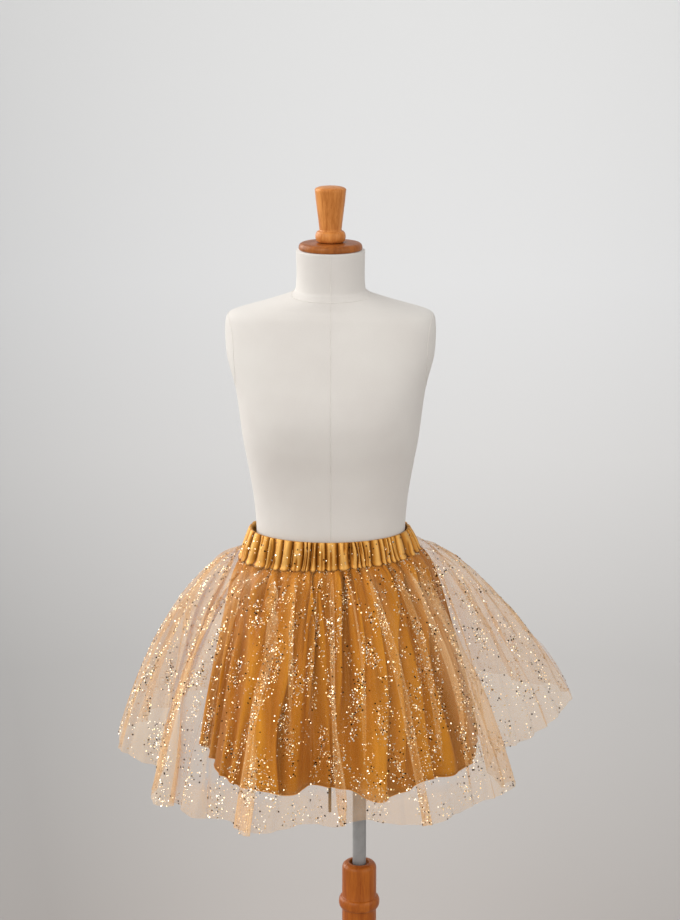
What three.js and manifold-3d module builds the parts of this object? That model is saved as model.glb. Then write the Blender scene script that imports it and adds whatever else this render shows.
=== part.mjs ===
// A short costume tutu on its dress form.
//
// The skirt is sewn from five pieces: a gathered elastic waistband, two panels of satin and two longer
// panels of sheer tulle. It stands on a limbless form with a turned neck cap, a steel pole and a wooden
// tripod stand. Units are millimetres, +Z is up, +X is to the right as seen from the front, and the front
// faces -Y. The floor is Z = 0.
import * as THREE from 'three';
import { mergeVertices } from 'three/addons/utils/BufferGeometryUtils.js';
import Module from 'manifold-3d';

// ---- Driving dimensions -------------------------------------------------------------------------------

const seamGap = 0.3; // clearance between pieces that meet

// Places
const waistHeight = 1000; // lower edge of the waistband, above the floor
const waistTilt = 0.05; // the skirt sits higher towards +X: rise per mm
const skirtAxis = new THREE.Vector2(-24, 5);
const formAxis = new THREE.Vector2(-22, 5);
const poleAxis = new THREE.Vector2(24, 5);

// Waistband
const waistband = {
  height: 39, // at the middle of the front: the upper edge is level
  wall: 3,
  lowerHalfWidth: 140.5,
  lowerHalfDepth: 105,
  upperHalfWidth: 125,
  upperHalfDepth: 97,
  ribs: 56,
  ribDepth: 2.4,
  columnsPerRib: 3,
};

// Satin underskirt and tulle overskirt: the hem tables give, in order round the skirt from the left side
// seam, the bearing of each fold or hollow (degrees from the front, positive towards +X), its reach from
// the skirt's axis and its drop below the waist seam.
const satin = {
  wall: 1.2,
  seamInset: 2.3, // middle of the cloth, inside the waistband's lower edge
  bulge: { left: 0.2, right: 0.42 }, // 0 is a straight cone, 1 a quarter of an ellipse
  backPuff: 0, // rise of the gathers above the seam behind
  gatherDepth: 1.6,
  segmentsDown: 5,
  frontHem: [
    { bearing: -97, reach: 211, drop: 328 },
    { bearing: -80, reach: 193, drop: 329 },
    { bearing: -62, reach: 205, drop: 330 },
    { bearing: -49, reach: 213, drop: 330 },
    { bearing: -37, reach: 217, drop: 330 },
    { bearing: -25, reach: 218, drop: 330 },
    { bearing: -15, reach: 212, drop: 330 },
    { bearing: -8, reach: 168, drop: 329 },
    { bearing: 1, reach: 176, drop: 329 },
    { bearing: 10, reach: 198, drop: 329 },
    { bearing: 19, reach: 242, drop: 330 },
    { bearing: 29, reach: 228, drop: 330 },
    { bearing: 40, reach: 213, drop: 329 },
    { bearing: 50, reach: 215, drop: 328 },
    { bearing: 62, reach: 240, drop: 325 },
    { bearing: 77, reach: 239, drop: 321 },
  ],
  backHem: [
    { bearing: 93, reach: 237, drop: 318 },
    { bearing: 108, reach: 220, drop: 318 },
    { bearing: 123, reach: 234, drop: 319 },
    { bearing: 138, reach: 206, drop: 321 },
    { bearing: 154, reach: 222, drop: 323 },
    { bearing: 171, reach: 198, drop: 325 },
    { bearing: 188, reach: 213, drop: 326 },
    { bearing: 204, reach: 191, drop: 327 },
    { bearing: 220, reach: 214, drop: 328 },
    { bearing: 236, reach: 197, drop: 328 },
    { bearing: 250, reach: 212, drop: 328 },
  ],
};

const tulle = {
  wall: 1,
  seamInset: 0.6,
  bulge: { left: 0.58, right: 0.45 },
  backPuff: 10,
  gatherDepth: 2.4,
  segmentsDown: 8,
  frontHem: [
    { bearing: -98, reach: 346, drop: 318 },
    { bearing: -90, reach: 337, drop: 322 },
    { bearing: -83, reach: 327, drop: 329 },
    { bearing: -75, reach: 287, drop: 334 },
    { bearing: -62, reach: 306, drop: 336 },
    { bearing: -50, reach: 346, drop: 336 },
    { bearing: -44, reach: 330, drop: 335 },
    { bearing: -37, reach: 346, drop: 335 },
    { bearing: -30, reach: 338, drop: 335 },
    { bearing: -26, reach: 331, drop: 335 },
    { bearing: -22, reach: 352, drop: 336 },
    { bearing: -17, reach: 360, drop: 336 },
    { bearing: -11, reach: 332, drop: 335 },
    { bearing: -4, reach: 308, drop: 335 },
    { bearing: 2, reach: 319, drop: 334 },
    { bearing: 11, reach: 302, drop: 333 },
    { bearing: 20, reach: 340, drop: 333 },
    { bearing: 29, reach: 349, drop: 333 },
    { bearing: 41, reach: 324, drop: 333 },
    { bearing: 50, reach: 328, drop: 333 },
    { bearing: 58, reach: 321, drop: 332 },
    { bearing: 66, reach: 271, drop: 326 },
    { bearing: 74, reach: 285, drop: 304 },
    { bearing: 80, reach: 326, drop: 294 },
    { bearing: 87, reach: 366, drop: 270 },
  ],
  backHem: [
    { bearing: 96, reach: 392, drop: 257 },
    { bearing: 106, reach: 374, drop: 261 },
    { bearing: 115, reach: 343, drop: 268 },
    { bearing: 124, reach: 358, drop: 276 },
    { bearing: 134, reach: 325, drop: 286 },
    { bearing: 143, reach: 348, drop: 294 },
    { bearing: 153, reach: 317, drop: 302 },
    { bearing: 163, reach: 342, drop: 308 },
    { bearing: 174, reach: 311, drop: 313 },
    { bearing: 183, reach: 336, drop: 317 },
    { bearing: 194, reach: 308, drop: 320 },
    { bearing: 204, reach: 341, drop: 322 },
    { bearing: 214, reach: 314, drop: 323 },
    { bearing: 225, reach: 347, drop: 323 },
    { bearing: 236, reach: 318, drop: 322 },
    { bearing: 246, reach: 337, drop: 320 },
    { bearing: 255, reach: 321, drop: 319 },
  ],
};
const columnsPerFoldRow = 4; // one row of the hem tables is one gather at the waist

// Form: sections from the bottom plate to the top of the neck. Heights are from the waist seam, "front"
// and "back" are the half depths on either side of the axis, and "square" is the superellipse exponent.
const formSections = [
  { height: -250, halfWidth: 148, front: 104, back: 108, square: 2.2 },
  { height: -200, halfWidth: 151, front: 108, back: 114, square: 2.2 },
  { height: -140, halfWidth: 146, front: 106, back: 112, square: 2.2 },
  { height: -90, halfWidth: 136, front: 100, back: 103, square: 2.2 },
  { height: -40, halfWidth: 124, front: 92, back: 91, square: 2.2 },
  { height: 0, halfWidth: 118, front: 88, back: 84, square: 2.2 },
  { height: 40, halfWidth: 117, front: 88, back: 82, square: 2.2 },
  { height: 90, halfWidth: 121, front: 94, back: 84, square: 2.2 },
  { height: 140, halfWidth: 129, front: 104, back: 88, square: 2.25 },
  { height: 185, halfWidth: 137, front: 117, back: 92, square: 2.3 },
  { height: 225, halfWidth: 142, front: 124, back: 95, square: 2.3 },
  { height: 262, halfWidth: 147, front: 118, back: 97, square: 2.35 },
  { height: 287, halfWidth: 153, front: 109, back: 97, square: 2.4 },
  { height: 314, halfWidth: 160, front: 99, back: 95, square: 2.4 },
  { height: 340, halfWidth: 162.5, front: 88, back: 91, square: 2.4 },
  { height: 362, halfWidth: 162.5, front: 78, back: 83, square: 2.4 },
  { height: 377, halfWidth: 160, front: 71, back: 77, square: 2.3 },
  { height: 385, halfWidth: 150, front: 66, back: 71, square: 2.2 },
  { height: 393, halfWidth: 124, front: 61, back: 66, square: 2.1 },
  { height: 402, halfWidth: 92, front: 58, back: 61, square: 2 },
  { height: 413, halfWidth: 60, front: 55, back: 56, square: 2 },
  { height: 426, halfWidth: 53, front: 53, back: 53, square: 2 },
  { height: 478, halfWidth: 53, front: 53, back: 53, square: 2 },
];
const formSides = 32;

// Neck cap, in turned wood
const capDisc = { radius: 49, thickness: 11.5, edge: 3.5 };
const finial = {
  beadRadius: 23.5,
  beadHeight: 18,
  neckRadius: 17,
  lowerPull: new THREE.Vector2(18.5, 36), // control points of the flare above the bead
  upperPull: new THREE.Vector2(22.5, 60),
  topRadius: 24,
  topHeight: 81, // from the underside of the bead to the rim of the top
  dome: 5,
};

// Thin rod that hangs from the middle of the form's bottom plate
const hangingRod = { radius: 2.5, lowerEnd: -443 };

// Pole and stand. Column heights are above the floor.
const pole = { radius: 11 };
const column = {
  top: 471,
  radius: 28,
  shoulder: 11,
  socketRadius: 16,
  socketDepth: 7,
  ringRadius: 33,
  ringHeight: 20,
  ringCentre: 402,
  footRadius: 17,
  footHeight: 14,
  throatDrop: 14, // the widening above the foot ends this far below the legs
  bottom: 52,
};
const leg = {
  count: 3,
  thickness: 34,
  hubTop: 152,
  hubBottom: 88,
  ankle: new THREE.Vector2(250, 36),
  reach: 285,
  footLength: 50,
  upperPulls: [new THREE.Vector2(110, 148), new THREE.Vector2(120, 62)], // control points of its upper edge
  toePull: new THREE.Vector2(285, 30),
  arch: new THREE.Vector2(213, 13), // where the lower edge meets the foot
  archPull: new THREE.Vector2(231, 8),
  lowerPulls: [new THREE.Vector2(115, 36), new THREE.Vector2(96, 80)],
};
const turnedSides = 28;

// ---- Materials ----------------------------------------------------------------------------------------

const goldSatin = new THREE.MeshStandardMaterial({ color: 0xc8892f, roughness: 0.42, metalness: 0 });
const glitterTulle = new THREE.MeshStandardMaterial({ color: 0xdcb98a, roughness: 0.6, metalness: 0 });
const ivoryLinen = new THREE.MeshStandardMaterial({ color: 0xebe8e4, roughness: 0.9, metalness: 0 });
const turnedWood = new THREE.MeshStandardMaterial({ color: 0xa8561d, roughness: 0.3, metalness: 0 });
const greySteel = new THREE.MeshStandardMaterial({ color: 0x878787, roughness: 0.4, metalness: 0.8 });
const darkSteel = new THREE.MeshStandardMaterial({ color: 0x4a3a2c, roughness: 0.5, metalness: 0.7 });

const part = new THREE.Group();
part.name = 'tutu_on_dress_form';

function addPiece(name, geometry, material, axis, height) {
  const mesh = new THREE.Mesh(geometry, material);
  mesh.name = name;
  mesh.position.set(axis.x, axis.y, height);
  part.add(mesh);
  return mesh;
}

// ---- Cloth --------------------------------------------------------------------------------------------

// Reach of an ellipse at a bearing from its front.
function ellipseReach(halfWidth, halfDepth, bearing) {
  return 1 / Math.hypot(Math.sin(bearing) / halfWidth, Math.cos(bearing) / halfDepth);
}

function fromBearing(bearing, reach, height) {
  return new THREE.Vector3(reach * Math.sin(bearing), -reach * Math.cos(bearing), height);
}

// Height of the tilted waist seam at a bearing.
function seamHeight(bearing) {
  const reach = ellipseReach(waistband.lowerHalfWidth, waistband.lowerHalfDepth, bearing);
  return waistTilt * reach * Math.sin(bearing);
}

// Closed wall between two grids of points, [column][row], with the rows running downwards. The columns run
// from the left over the front to the right, and a ring joins its last column to its first.
function wallGeometry(outer, inner, isRing) {
  const rowCount = outer[0].length;
  const columnCount = outer.length;
  const skins = [outer, inner];
  const positions = skins.flat(2).flatMap((point) => point.toArray());
  const index = [];
  const vertex = (skin, column, row) => (skin * columnCount + (column % columnCount)) * rowCount + row;
  const quad = (a, b, c, d) => index.push(a, b, c, a, c, d);

  const spans = isRing ? columnCount : columnCount - 1;
  const last = rowCount - 1;
  for (let i = 0; i < spans; i++) {
    for (let j = 0; j < last; j++) {
      quad(vertex(0, i, j), vertex(0, i, j + 1), vertex(0, i + 1, j + 1), vertex(0, i + 1, j));
      quad(vertex(1, i, j), vertex(1, i + 1, j), vertex(1, i + 1, j + 1), vertex(1, i, j + 1));
    }
    quad(vertex(0, i, 0), vertex(0, i + 1, 0), vertex(1, i + 1, 0), vertex(1, i, 0));
    quad(vertex(0, i, last), vertex(1, i, last), vertex(1, i + 1, last), vertex(0, i + 1, last));
  }
  if (!isRing) {
    const end = columnCount - 1;
    for (let j = 0; j < last; j++) {
      quad(vertex(0, 0, j), vertex(1, 0, j), vertex(1, 0, j + 1), vertex(0, 0, j + 1));
      quad(vertex(0, end, j), vertex(0, end, j + 1), vertex(1, end, j + 1), vertex(1, end, j));
    }
  }
  const geometry = new THREE.BufferGeometry();
  geometry.setAttribute('position', new THREE.Float32BufferAttribute(positions, 3));
  geometry.setIndex(index);
  geometry.computeVertexNormals();
  return geometry;
}

// Middle surface of one layer of the skirt: u runs once round from the left side seam, v from the waist
// seam (0) to the hem (1).
function skirtSurface(layer) {
  const rows = [...layer.frontHem, ...layer.backHem];
  const hemPoints = rows.map(({ bearing, reach, drop }) =>
    fromBearing(THREE.MathUtils.degToRad(bearing), reach, -drop));
  const hem = new THREE.CatmullRomCurve3(hemPoints, true, 'centripetal');
  const halfWidth = waistband.lowerHalfWidth - layer.seamInset;
  const halfDepth = waistband.lowerHalfDepth - layer.seamInset;

  return (u, v) => {
    const hemPoint = hem.getPoint(u);
    const bearing = Math.atan2(hemPoint.x, -hemPoint.y);
    const waistReach = ellipseReach(halfWidth, halfDepth, bearing);
    const waistZ = seamHeight(bearing) - seamGap;

    const angle = v * Math.PI / 2;
    const fall = 1 - Math.cos(angle);
    const { left, right } = layer.bulge;
    const bulge = THREE.MathUtils.lerp(left, right, (1 + Math.sin(bearing)) / 2);
    const spread = (1 - bulge) * fall + bulge * Math.sin(angle);
    const gatherFade = Math.sin(Math.PI * Math.min(1, v / 0.75));
    const gather = layer.gatherDepth * gatherFade * Math.sin(2 * Math.PI * rows.length * u);

    const puffFade = Math.sin(Math.PI * Math.min(1, v / 0.5));
    const puff = layer.backPuff * puffFade * Math.max(0, -Math.cos(bearing));

    const reach = THREE.MathUtils.lerp(waistReach, Math.hypot(hemPoint.x, hemPoint.y), spread) + gather;
    return fromBearing(bearing, reach, THREE.MathUtils.lerp(waistZ, hemPoint.z, fall) + puff);
  };
}

// One panel of a layer, from one side seam to the other.
function panelGeometry(layer, firstRow, lastRow) {
  const surface = skirtSurface(layer);
  const rowTotal = layer.frontHem.length + layer.backHem.length;
  const columnTotal = rowTotal * columnsPerFoldRow;
  const firstColumn = firstRow * columnsPerFoldRow;
  const lastColumn = lastRow * columnsPerFoldRow;
  const halfColumn = 0.5 / columnTotal;
  const halfSegment = 0.5 / layer.segmentsDown;
  const outer = [];
  const inner = [];

  for (let column = firstColumn; column <= lastColumn; column++) {
    const u = column / columnTotal;
    const outerColumn = [];
    const innerColumn = [];
    for (let segment = 0; segment <= layer.segmentsDown; segment++) {
      const v = segment / layer.segmentsDown;
      const above = surface(u % 1, Math.max(0, v - halfSegment));
      const below = surface(u % 1, Math.min(1, v + halfSegment));
      const down = below.sub(above);
      const along = surface((u + halfColumn) % 1, v).sub(surface((u - halfColumn + 1) % 1, v));
      const normal = new THREE.Vector3().crossVectors(down, along);
      const middle = surface(u % 1, v);
      if (segment === 0) normal.z = 0; // the upper edge is level, under the waistband
      normal.normalize();

      // The side edges stand back from the seam by half the gap.
      if (column === firstColumn) middle.addScaledVector(along.normalize(), seamGap / 2);
      if (column === lastColumn) middle.addScaledVector(along.normalize(), -seamGap / 2);
      outerColumn.push(middle.clone().addScaledVector(normal, layer.wall / 2));
      innerColumn.push(middle.clone().addScaledVector(normal, -layer.wall / 2));
    }
    outer.push(outerColumn);
    inner.push(innerColumn);
  }
  return wallGeometry(outer, inner, false);
}

function addLayer(name, layer, material) {
  const frontRows = layer.frontHem.length;
  const allRows = frontRows + layer.backHem.length;
  addPiece(`${name}_front`, panelGeometry(layer, 0, frontRows), material, skirtAxis, waistHeight);
  addPiece(`${name}_back`, panelGeometry(layer, frontRows, allRows), material, skirtAxis, waistHeight);
}

// Gathered casing: rounded ribs outside, plain inside.
function waistbandGeometry() {
  const columns = waistband.ribs * waistband.columnsPerRib;
  const rowShares = [1, 0.78, 0.22, 0]; // share of the height, from the top
  const outer = [];
  const inner = [];
  for (let column = 0; column < columns; column++) {
    const bearing = -Math.PI + 2 * Math.PI * column / columns;
    const ribShape = Math.sqrt(Math.abs(Math.sin(Math.PI * column / waistband.columnsPerRib)));
    const outerColumn = [];
    const innerColumn = [];
    for (const share of rowShares) {
      const halfWidth = THREE.MathUtils.lerp(waistband.lowerHalfWidth, waistband.upperHalfWidth, share);
      const halfDepth = THREE.MathUtils.lerp(waistband.lowerHalfDepth, waistband.upperHalfDepth, share);
      const reach = ellipseReach(halfWidth, halfDepth, bearing);
      const edgeFade = share === 0 || share === 1 ? 0.3 : 1;
      const rise = waistband.ribDepth * ribShape * edgeFade;
      const height = THREE.MathUtils.lerp(seamHeight(bearing), waistband.height, share);
      outerColumn.push(fromBearing(bearing, reach + rise, height));
      innerColumn.push(fromBearing(bearing, reach - waistband.wall, height));
    }
    outer.push(outerColumn);
    inner.push(innerColumn);
  }
  return wallGeometry(outer, inner, true);
}

addPiece('waistband', waistbandGeometry(), goldSatin, skirtAxis, waistHeight);
addLayer('satin', satin, goldSatin);
addLayer('tulle', tulle, glitterTulle);

// ---- Form ---------------------------------------------------------------------------------------------

// Solid through flat superellipse sections.
function formGeometry() {
  const positions = [];
  const index = [];
  for (const { height, halfWidth, front, back, square } of formSections) {
    for (let side = 0; side < formSides; side++) {
      const angle = 2 * Math.PI * side / formSides;
      const cosine = Math.cos(angle);
      const sine = Math.sin(angle);
      const x = halfWidth * Math.sign(cosine) * Math.abs(cosine) ** (2 / square);
      const y = (sine < 0 ? front : back) * Math.sign(sine) * Math.abs(sine) ** (2 / square);
      positions.push(x, y, height);
    }
  }
  const top = formSections.length - 1;
  const vertex = (section, side) => section * formSides + (side % formSides);
  const bottomCentre = positions.length / 3;
  const topCentre = bottomCentre + 1;
  positions.push(0, 0, formSections[0].height);
  positions.push(0, 0, formSections[top].height);
  for (let side = 0; side < formSides; side++) {
    for (let section = 0; section < top; section++) {
      const lower = [vertex(section, side), vertex(section, side + 1)];
      const upper = [vertex(section + 1, side), vertex(section + 1, side + 1)];
      index.push(lower[0], lower[1], upper[1], lower[0], upper[1], upper[0]);
    }
    index.push(bottomCentre, vertex(0, side + 1), vertex(0, side));
    index.push(topCentre, vertex(top, side), vertex(top, side + 1));
  }
  const geometry = new THREE.BufferGeometry();
  geometry.setAttribute('position', new THREE.Float32BufferAttribute(positions, 3));
  geometry.setIndex(index);
  geometry.computeVertexNormals();
  return geometry;
}

// Turned piece: the profile is an outline from the axis to the axis, and its Y becomes Z.
function turned(profile, sides = turnedSides) {
  return new THREE.LatheGeometry(profile, sides).rotateX(Math.PI / 2);
}

function profileOf(draw, divisions) {
  const outline = new THREE.Path();
  draw(outline);
  return outline.getPoints(divisions);
}

const formBottom = formSections[0].height;
const formTop = formSections[formSections.length - 1].height;
addPiece('form', formGeometry(), ivoryLinen, formAxis, waistHeight);

const discProfile = profileOf((outline) => {
  const { radius, thickness, edge } = capDisc;
  outline.moveTo(0, 0);
  outline.lineTo(radius - edge, 0);
  outline.quadraticCurveTo(radius, 0, radius, edge);
  outline.quadraticCurveTo(radius, thickness, radius - 2.5 * edge, thickness);
  outline.lineTo(0, thickness);
}, 3);
addPiece('cap_disc', turned(discProfile), turnedWood, formAxis, waistHeight + formTop + seamGap);

const finialProfile = profileOf((outline) => {
  const { beadRadius, beadHeight, neckRadius, lowerPull, upperPull, topRadius, topHeight, dome } = finial;
  outline.moveTo(0, 0);
  outline.lineTo(neckRadius, 0);
  outline.bezierCurveTo(beadRadius + 2, 0, beadRadius + 2, beadHeight, neckRadius, beadHeight);
  outline.bezierCurveTo(lowerPull.x, lowerPull.y, upperPull.x, upperPull.y, topRadius, topHeight);
  outline.quadraticCurveTo(topRadius - 2, topHeight + dome, 0, topHeight + dome);
}, 5);
const finialHeight = waistHeight + formTop + capDisc.thickness + 2 * seamGap;
addPiece('cap_finial', turned(finialProfile), turnedWood, formAxis, finialHeight);

// ---- Stand --------------------------------------------------------------------------------------------

// Upright round bar between two heights above the floor.
function bar(radius, bottom, top, sides) {
  const height = top - bottom;
  return new THREE.CylinderGeometry(radius, radius, height, sides).rotateX(Math.PI / 2)
    .translate(0, 0, bottom + height / 2);
}

const plateHeight = waistHeight + formBottom - seamGap;
const rodBottom = waistHeight + hangingRod.lowerEnd;
addPiece('hanging_rod', bar(hangingRod.radius, rodBottom, plateHeight, 12), darkSteel, skirtAxis, 0);

const poleBottom = column.top - column.socketDepth + seamGap;
addPiece('pole', bar(pole.radius, poleBottom, plateHeight, turnedSides), greySteel, poleAxis, 0);

const columnProfile = profileOf((outline) => {
  const { top, bottom, radius, shoulder, socketRadius, socketDepth, footRadius, footHeight } = column;
  const { ringRadius, ringHeight, ringCentre, throatDrop } = column;
  const ringTop = ringCentre + ringHeight / 2;
  const ringBottom = ringCentre - ringHeight / 2;
  const throatTop = leg.hubBottom - throatDrop;
  outline.moveTo(0, bottom);
  outline.quadraticCurveTo(footRadius, bottom, footRadius, bottom + footHeight);
  outline.quadraticCurveTo(footRadius + 1, throatTop - 2, radius, throatTop);
  outline.lineTo(radius, ringBottom);
  outline.bezierCurveTo(ringRadius + 2, ringBottom, ringRadius + 2, ringTop, radius, ringTop);
  outline.lineTo(radius, top - shoulder);
  outline.quadraticCurveTo(radius, top, radius - shoulder, top);
  outline.lineTo(socketRadius, top);
  outline.lineTo(socketRadius, top - socketDepth);
  outline.lineTo(0, top - socketDepth);
}, 4);
addPiece('column', turned(columnProfile), turnedWood, poleAxis, 0);

// Leg outline in its own upright plane, cut to fit round the column.
const wasm = await Module();
wasm.setup();

function toManifold(geometry) {
  const bare = geometry.clone();
  bare.deleteAttribute('normal');
  bare.deleteAttribute('uv');
  const merged = mergeVertices(bare);
  const triVerts = new Uint32Array(merged.index.array);
  const vertProperties = merged.attributes.position.array;
  return new wasm.Manifold(new wasm.Mesh({ numProp: 3, vertProperties, triVerts }));
}

function fromManifold(solid) {
  const mesh = solid.getMesh();
  const geometry = new THREE.BufferGeometry();
  geometry.setAttribute('position', new THREE.BufferAttribute(mesh.vertProperties, 3));
  geometry.setIndex(new THREE.BufferAttribute(mesh.triVerts, 1));
  geometry.computeVertexNormals();
  return geometry;
}

function legGeometry() {
  const outline = new THREE.Shape();
  const { ankle, reach, arch, thickness } = leg;
  const [nearHub, nearAnkle] = leg.upperPulls;
  const [nearArch, underHub] = leg.lowerPulls;
  outline.moveTo(0, leg.hubTop);
  outline.bezierCurveTo(nearHub.x, nearHub.y, nearAnkle.x, nearAnkle.y, ankle.x, ankle.y);
  outline.quadraticCurveTo(leg.toePull.x, leg.toePull.y, reach, 0);
  outline.lineTo(reach - leg.footLength, 0);
  outline.quadraticCurveTo(leg.archPull.x, leg.archPull.y, arch.x, arch.y);
  outline.bezierCurveTo(nearArch.x, nearArch.y, underHub.x, underHub.y, 0, leg.hubBottom);
  outline.closePath();
  const plank = { depth: thickness, bevelEnabled: false, curveSegments: 7 };
  const blank = new THREE.ExtrudeGeometry(outline, plank)
    .translate(0, 0, -thickness / 2)
    .rotateX(Math.PI / 2);
  const columnSpace = bar(column.radius + seamGap, 0, column.top, turnedSides);
  return fromManifold(toManifold(blank).subtract(toManifold(columnSpace)));
}

for (let i = 0; i < leg.count; i++) {
  const mesh = addPiece(`leg_${i + 1}`, legGeometry(), turnedWood, poleAxis, 0);
  mesh.rotation.z = Math.PI + 2 * Math.PI * i / leg.count;
}

export default part;
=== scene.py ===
# %% [markdown]
# A short costume tutu on its dress form. The skirt is a gathered satin waistband, a gold satin underskirt and
# one layer of sheer glitter tulle. The form is a limbless torso in linen, with a turned wooden neck cap, a
# steel pole and a wooden stand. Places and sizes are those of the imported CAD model. The cells go from the
# camera and the light through the finishes and the skirt to the form and its stand.

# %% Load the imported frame
import math

import bpy
import numpy as np
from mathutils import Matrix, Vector, kdtree


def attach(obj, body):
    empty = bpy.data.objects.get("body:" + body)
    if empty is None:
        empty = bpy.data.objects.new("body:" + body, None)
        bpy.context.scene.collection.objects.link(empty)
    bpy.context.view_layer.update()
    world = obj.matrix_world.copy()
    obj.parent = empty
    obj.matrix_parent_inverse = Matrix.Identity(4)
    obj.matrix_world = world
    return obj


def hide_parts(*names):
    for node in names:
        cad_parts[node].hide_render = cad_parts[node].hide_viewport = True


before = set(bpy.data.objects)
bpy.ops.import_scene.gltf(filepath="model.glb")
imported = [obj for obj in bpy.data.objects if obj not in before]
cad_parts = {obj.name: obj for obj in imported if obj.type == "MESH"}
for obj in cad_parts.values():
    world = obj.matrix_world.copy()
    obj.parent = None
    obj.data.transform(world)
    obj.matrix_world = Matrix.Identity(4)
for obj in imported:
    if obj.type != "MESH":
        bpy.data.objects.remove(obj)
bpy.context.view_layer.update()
scene = bpy.context.scene

# %% [markdown]
# The camera comes first. A long lens stands three and a half metres away and looks a little down, so the form
# keeps its true proportions and the hems show as shallow curves.

# %% Camera
looking_down = 13.7  # degrees
camera_data = bpy.data.cameras.new("studio_camera")
camera_data.lens = 90
camera_data.sensor_width = 36
camera_data.clip_end = 500
camera = bpy.data.objects.new("studio_camera", camera_data)
camera.location = (-0.0075, -3.495, 2.0)
camera.rotation_euler = (math.radians(90 - looking_down), 0, 0)
scene.collection.objects.link(camera)
scene.camera = camera
scene.view_settings.view_transform = "Standard"
print("camera at", tuple(round(value, 3) for value in camera.location))

# %% [markdown]
# Every mesh below is computed as arrays of points, because cloth is easiest to describe as a surface with two
# coordinates: one round the body and one down it. These helpers turn such arrays into Blender meshes, and the
# last of them give a finished piece its material and its body.

# %% Mesh helpers
MM = 0.001


def mesh_object(name, points, faces, uvs=None):
    """Object from an array of points in metres and an array of faces with equal corner counts."""
    points = np.asarray(points, np.float32).reshape(-1, 3)
    faces = np.asarray(faces, np.int32)
    mesh = bpy.data.meshes.new(name)
    mesh.vertices.add(len(points))
    mesh.vertices.foreach_set("co", points.ravel())
    mesh.loops.add(faces.size)
    mesh.loops.foreach_set("vertex_index", faces.ravel())
    mesh.polygons.add(len(faces))
    mesh.polygons.foreach_set("loop_start", np.arange(0, faces.size, faces.shape[1], dtype=np.int32))
    mesh.update(calc_edges=True)
    mesh.polygons.foreach_set("use_smooth", np.ones(len(faces), bool))
    if uvs is not None:
        layer = mesh.uv_layers.new(name="cloth")
        layer.data.foreach_set("uv", np.asarray(uvs, np.float32).reshape(-1, 2)[faces.ravel()].ravel())
    mesh.validate()
    made = bpy.data.objects.new(name, mesh)
    scene.collection.objects.link(made)
    return made


def grid_faces(columns, rows, ring=False, tube=False):
    """Quads between the points of a grid [column][row]. A ring joins its last column to its first, and a
    tube its last row to its first."""
    across = np.arange(columns if ring else columns - 1)[:, None]
    down = np.arange(rows if tube else rows - 1)[None, :]
    next_across = (across + 1) % columns
    next_down = (down + 1) % rows
    corners = [
        across * rows + down,
        across * rows + next_down,
        next_across * rows + next_down,
        next_across * rows + down,
    ]
    return np.stack([np.broadcast_to(c, (across.size, down.size)) for c in corners], -1).reshape(-1, 4)


def give_attribute(piece, name, values):
    """Stores one number a vertex, for the materials."""
    layer = piece.data.attributes.new(name, "FLOAT", "POINT")
    layer.data.foreach_set("value", np.asarray(values, np.float32).ravel())


def dress(piece, material, slot, *nodes):
    """Gives a finished piece its material, its body and the CAD nodes that it stands for. The slot argument
    is not used.
    """
    piece.data.materials.append(material)
    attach(piece, "root")
    if nodes:
        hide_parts(*nodes)
    print(piece.name, len(piece.data.polygons), "faces")
    return piece

# %% [markdown]
# Materials are node trees. Each helper adds one kind of node that many finishes need, so that a finish below
# reads as a short sum: a product, a new range, a noise, a ramp of colours, a bump.

# %% Node helpers


def feed(tree, node, inputs):
    """Fills a node's inputs. A socket is linked, and any other value is set on the node's own socket."""
    for name, value in inputs.items():
        if isinstance(value, bpy.types.NodeSocket):
            tree.links.new(value, node.inputs[name])
        else:
            node.inputs[name].default_value = value


def add_node(tree, kind, inputs=None, **settings):
    made = tree.nodes.new(kind)
    for name, value in settings.items():
        setattr(made, name, value)
    feed(tree, made, inputs or {})
    return made


def calculate(tree, operation, first, second=0.0):
    return add_node(tree, "ShaderNodeMath", {0: first, 1: second}, operation=operation).outputs[0]


def times(tree, first, second):
    return calculate(tree, "MULTIPLY", first, second)


def plus(tree, first, second):
    return calculate(tree, "ADD", first, second)


def remap(tree, value, low=0.0, high=1.0, new_low=0.0, new_high=1.0):
    """Takes a number from one range to another, and stops it at the new range's ends."""
    inputs = {0: value, 1: low, 2: high, 3: new_low, 4: new_high}
    return add_node(tree, "ShaderNodeMapRange", inputs).outputs[0]


def split(tree, vector):
    return add_node(tree, "ShaderNodeSeparateXYZ", {0: vector}).outputs


def join(tree, x, y, z):
    return add_node(tree, "ShaderNodeCombineXYZ", {0: x, 1: y, 2: z}).outputs[0]


def object_place(tree):
    return add_node(tree, "ShaderNodeTexCoord").outputs["Object"]


def ramp(tree, factor, stops):
    """Colour ramp from a list of (position, (red, green, blue))."""
    made = add_node(tree, "ShaderNodeValToRGB", {"Fac": factor})
    elements = made.color_ramp.elements
    while len(elements) < len(stops):
        elements.new(0.5)
    for element, (position, colour) in zip(elements, stops):
        element.position = position
        element.color = (*colour, 1)
    return made.outputs["Color"]


def mix_colours(tree, factor, first, second, blend="MIX"):
    inputs = {0: factor, 6: first, 7: second}
    return add_node(tree, "ShaderNodeMix", inputs, data_type="RGBA", blend_type=blend).outputs[2]


def new_material(name):
    """Material with its Principled shader."""
    material = bpy.data.materials.new(name)
    material.use_nodes = True
    return material, material.node_tree, material.node_tree.nodes["Principled BSDF"]

# %% [markdown]
# The studio: one pale sweep of floor with painted shade, a little darker near the stand and to the sides,
# most of all on the left, and even light from the room. The floor is so wide that it fills the view.

# %% Floor
floor_edges = (-90, 90)
floor = mesh_object("studio_floor", [(x, y, 0) for x in floor_edges for y in floor_edges], [[0, 2, 3, 1]])

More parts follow.
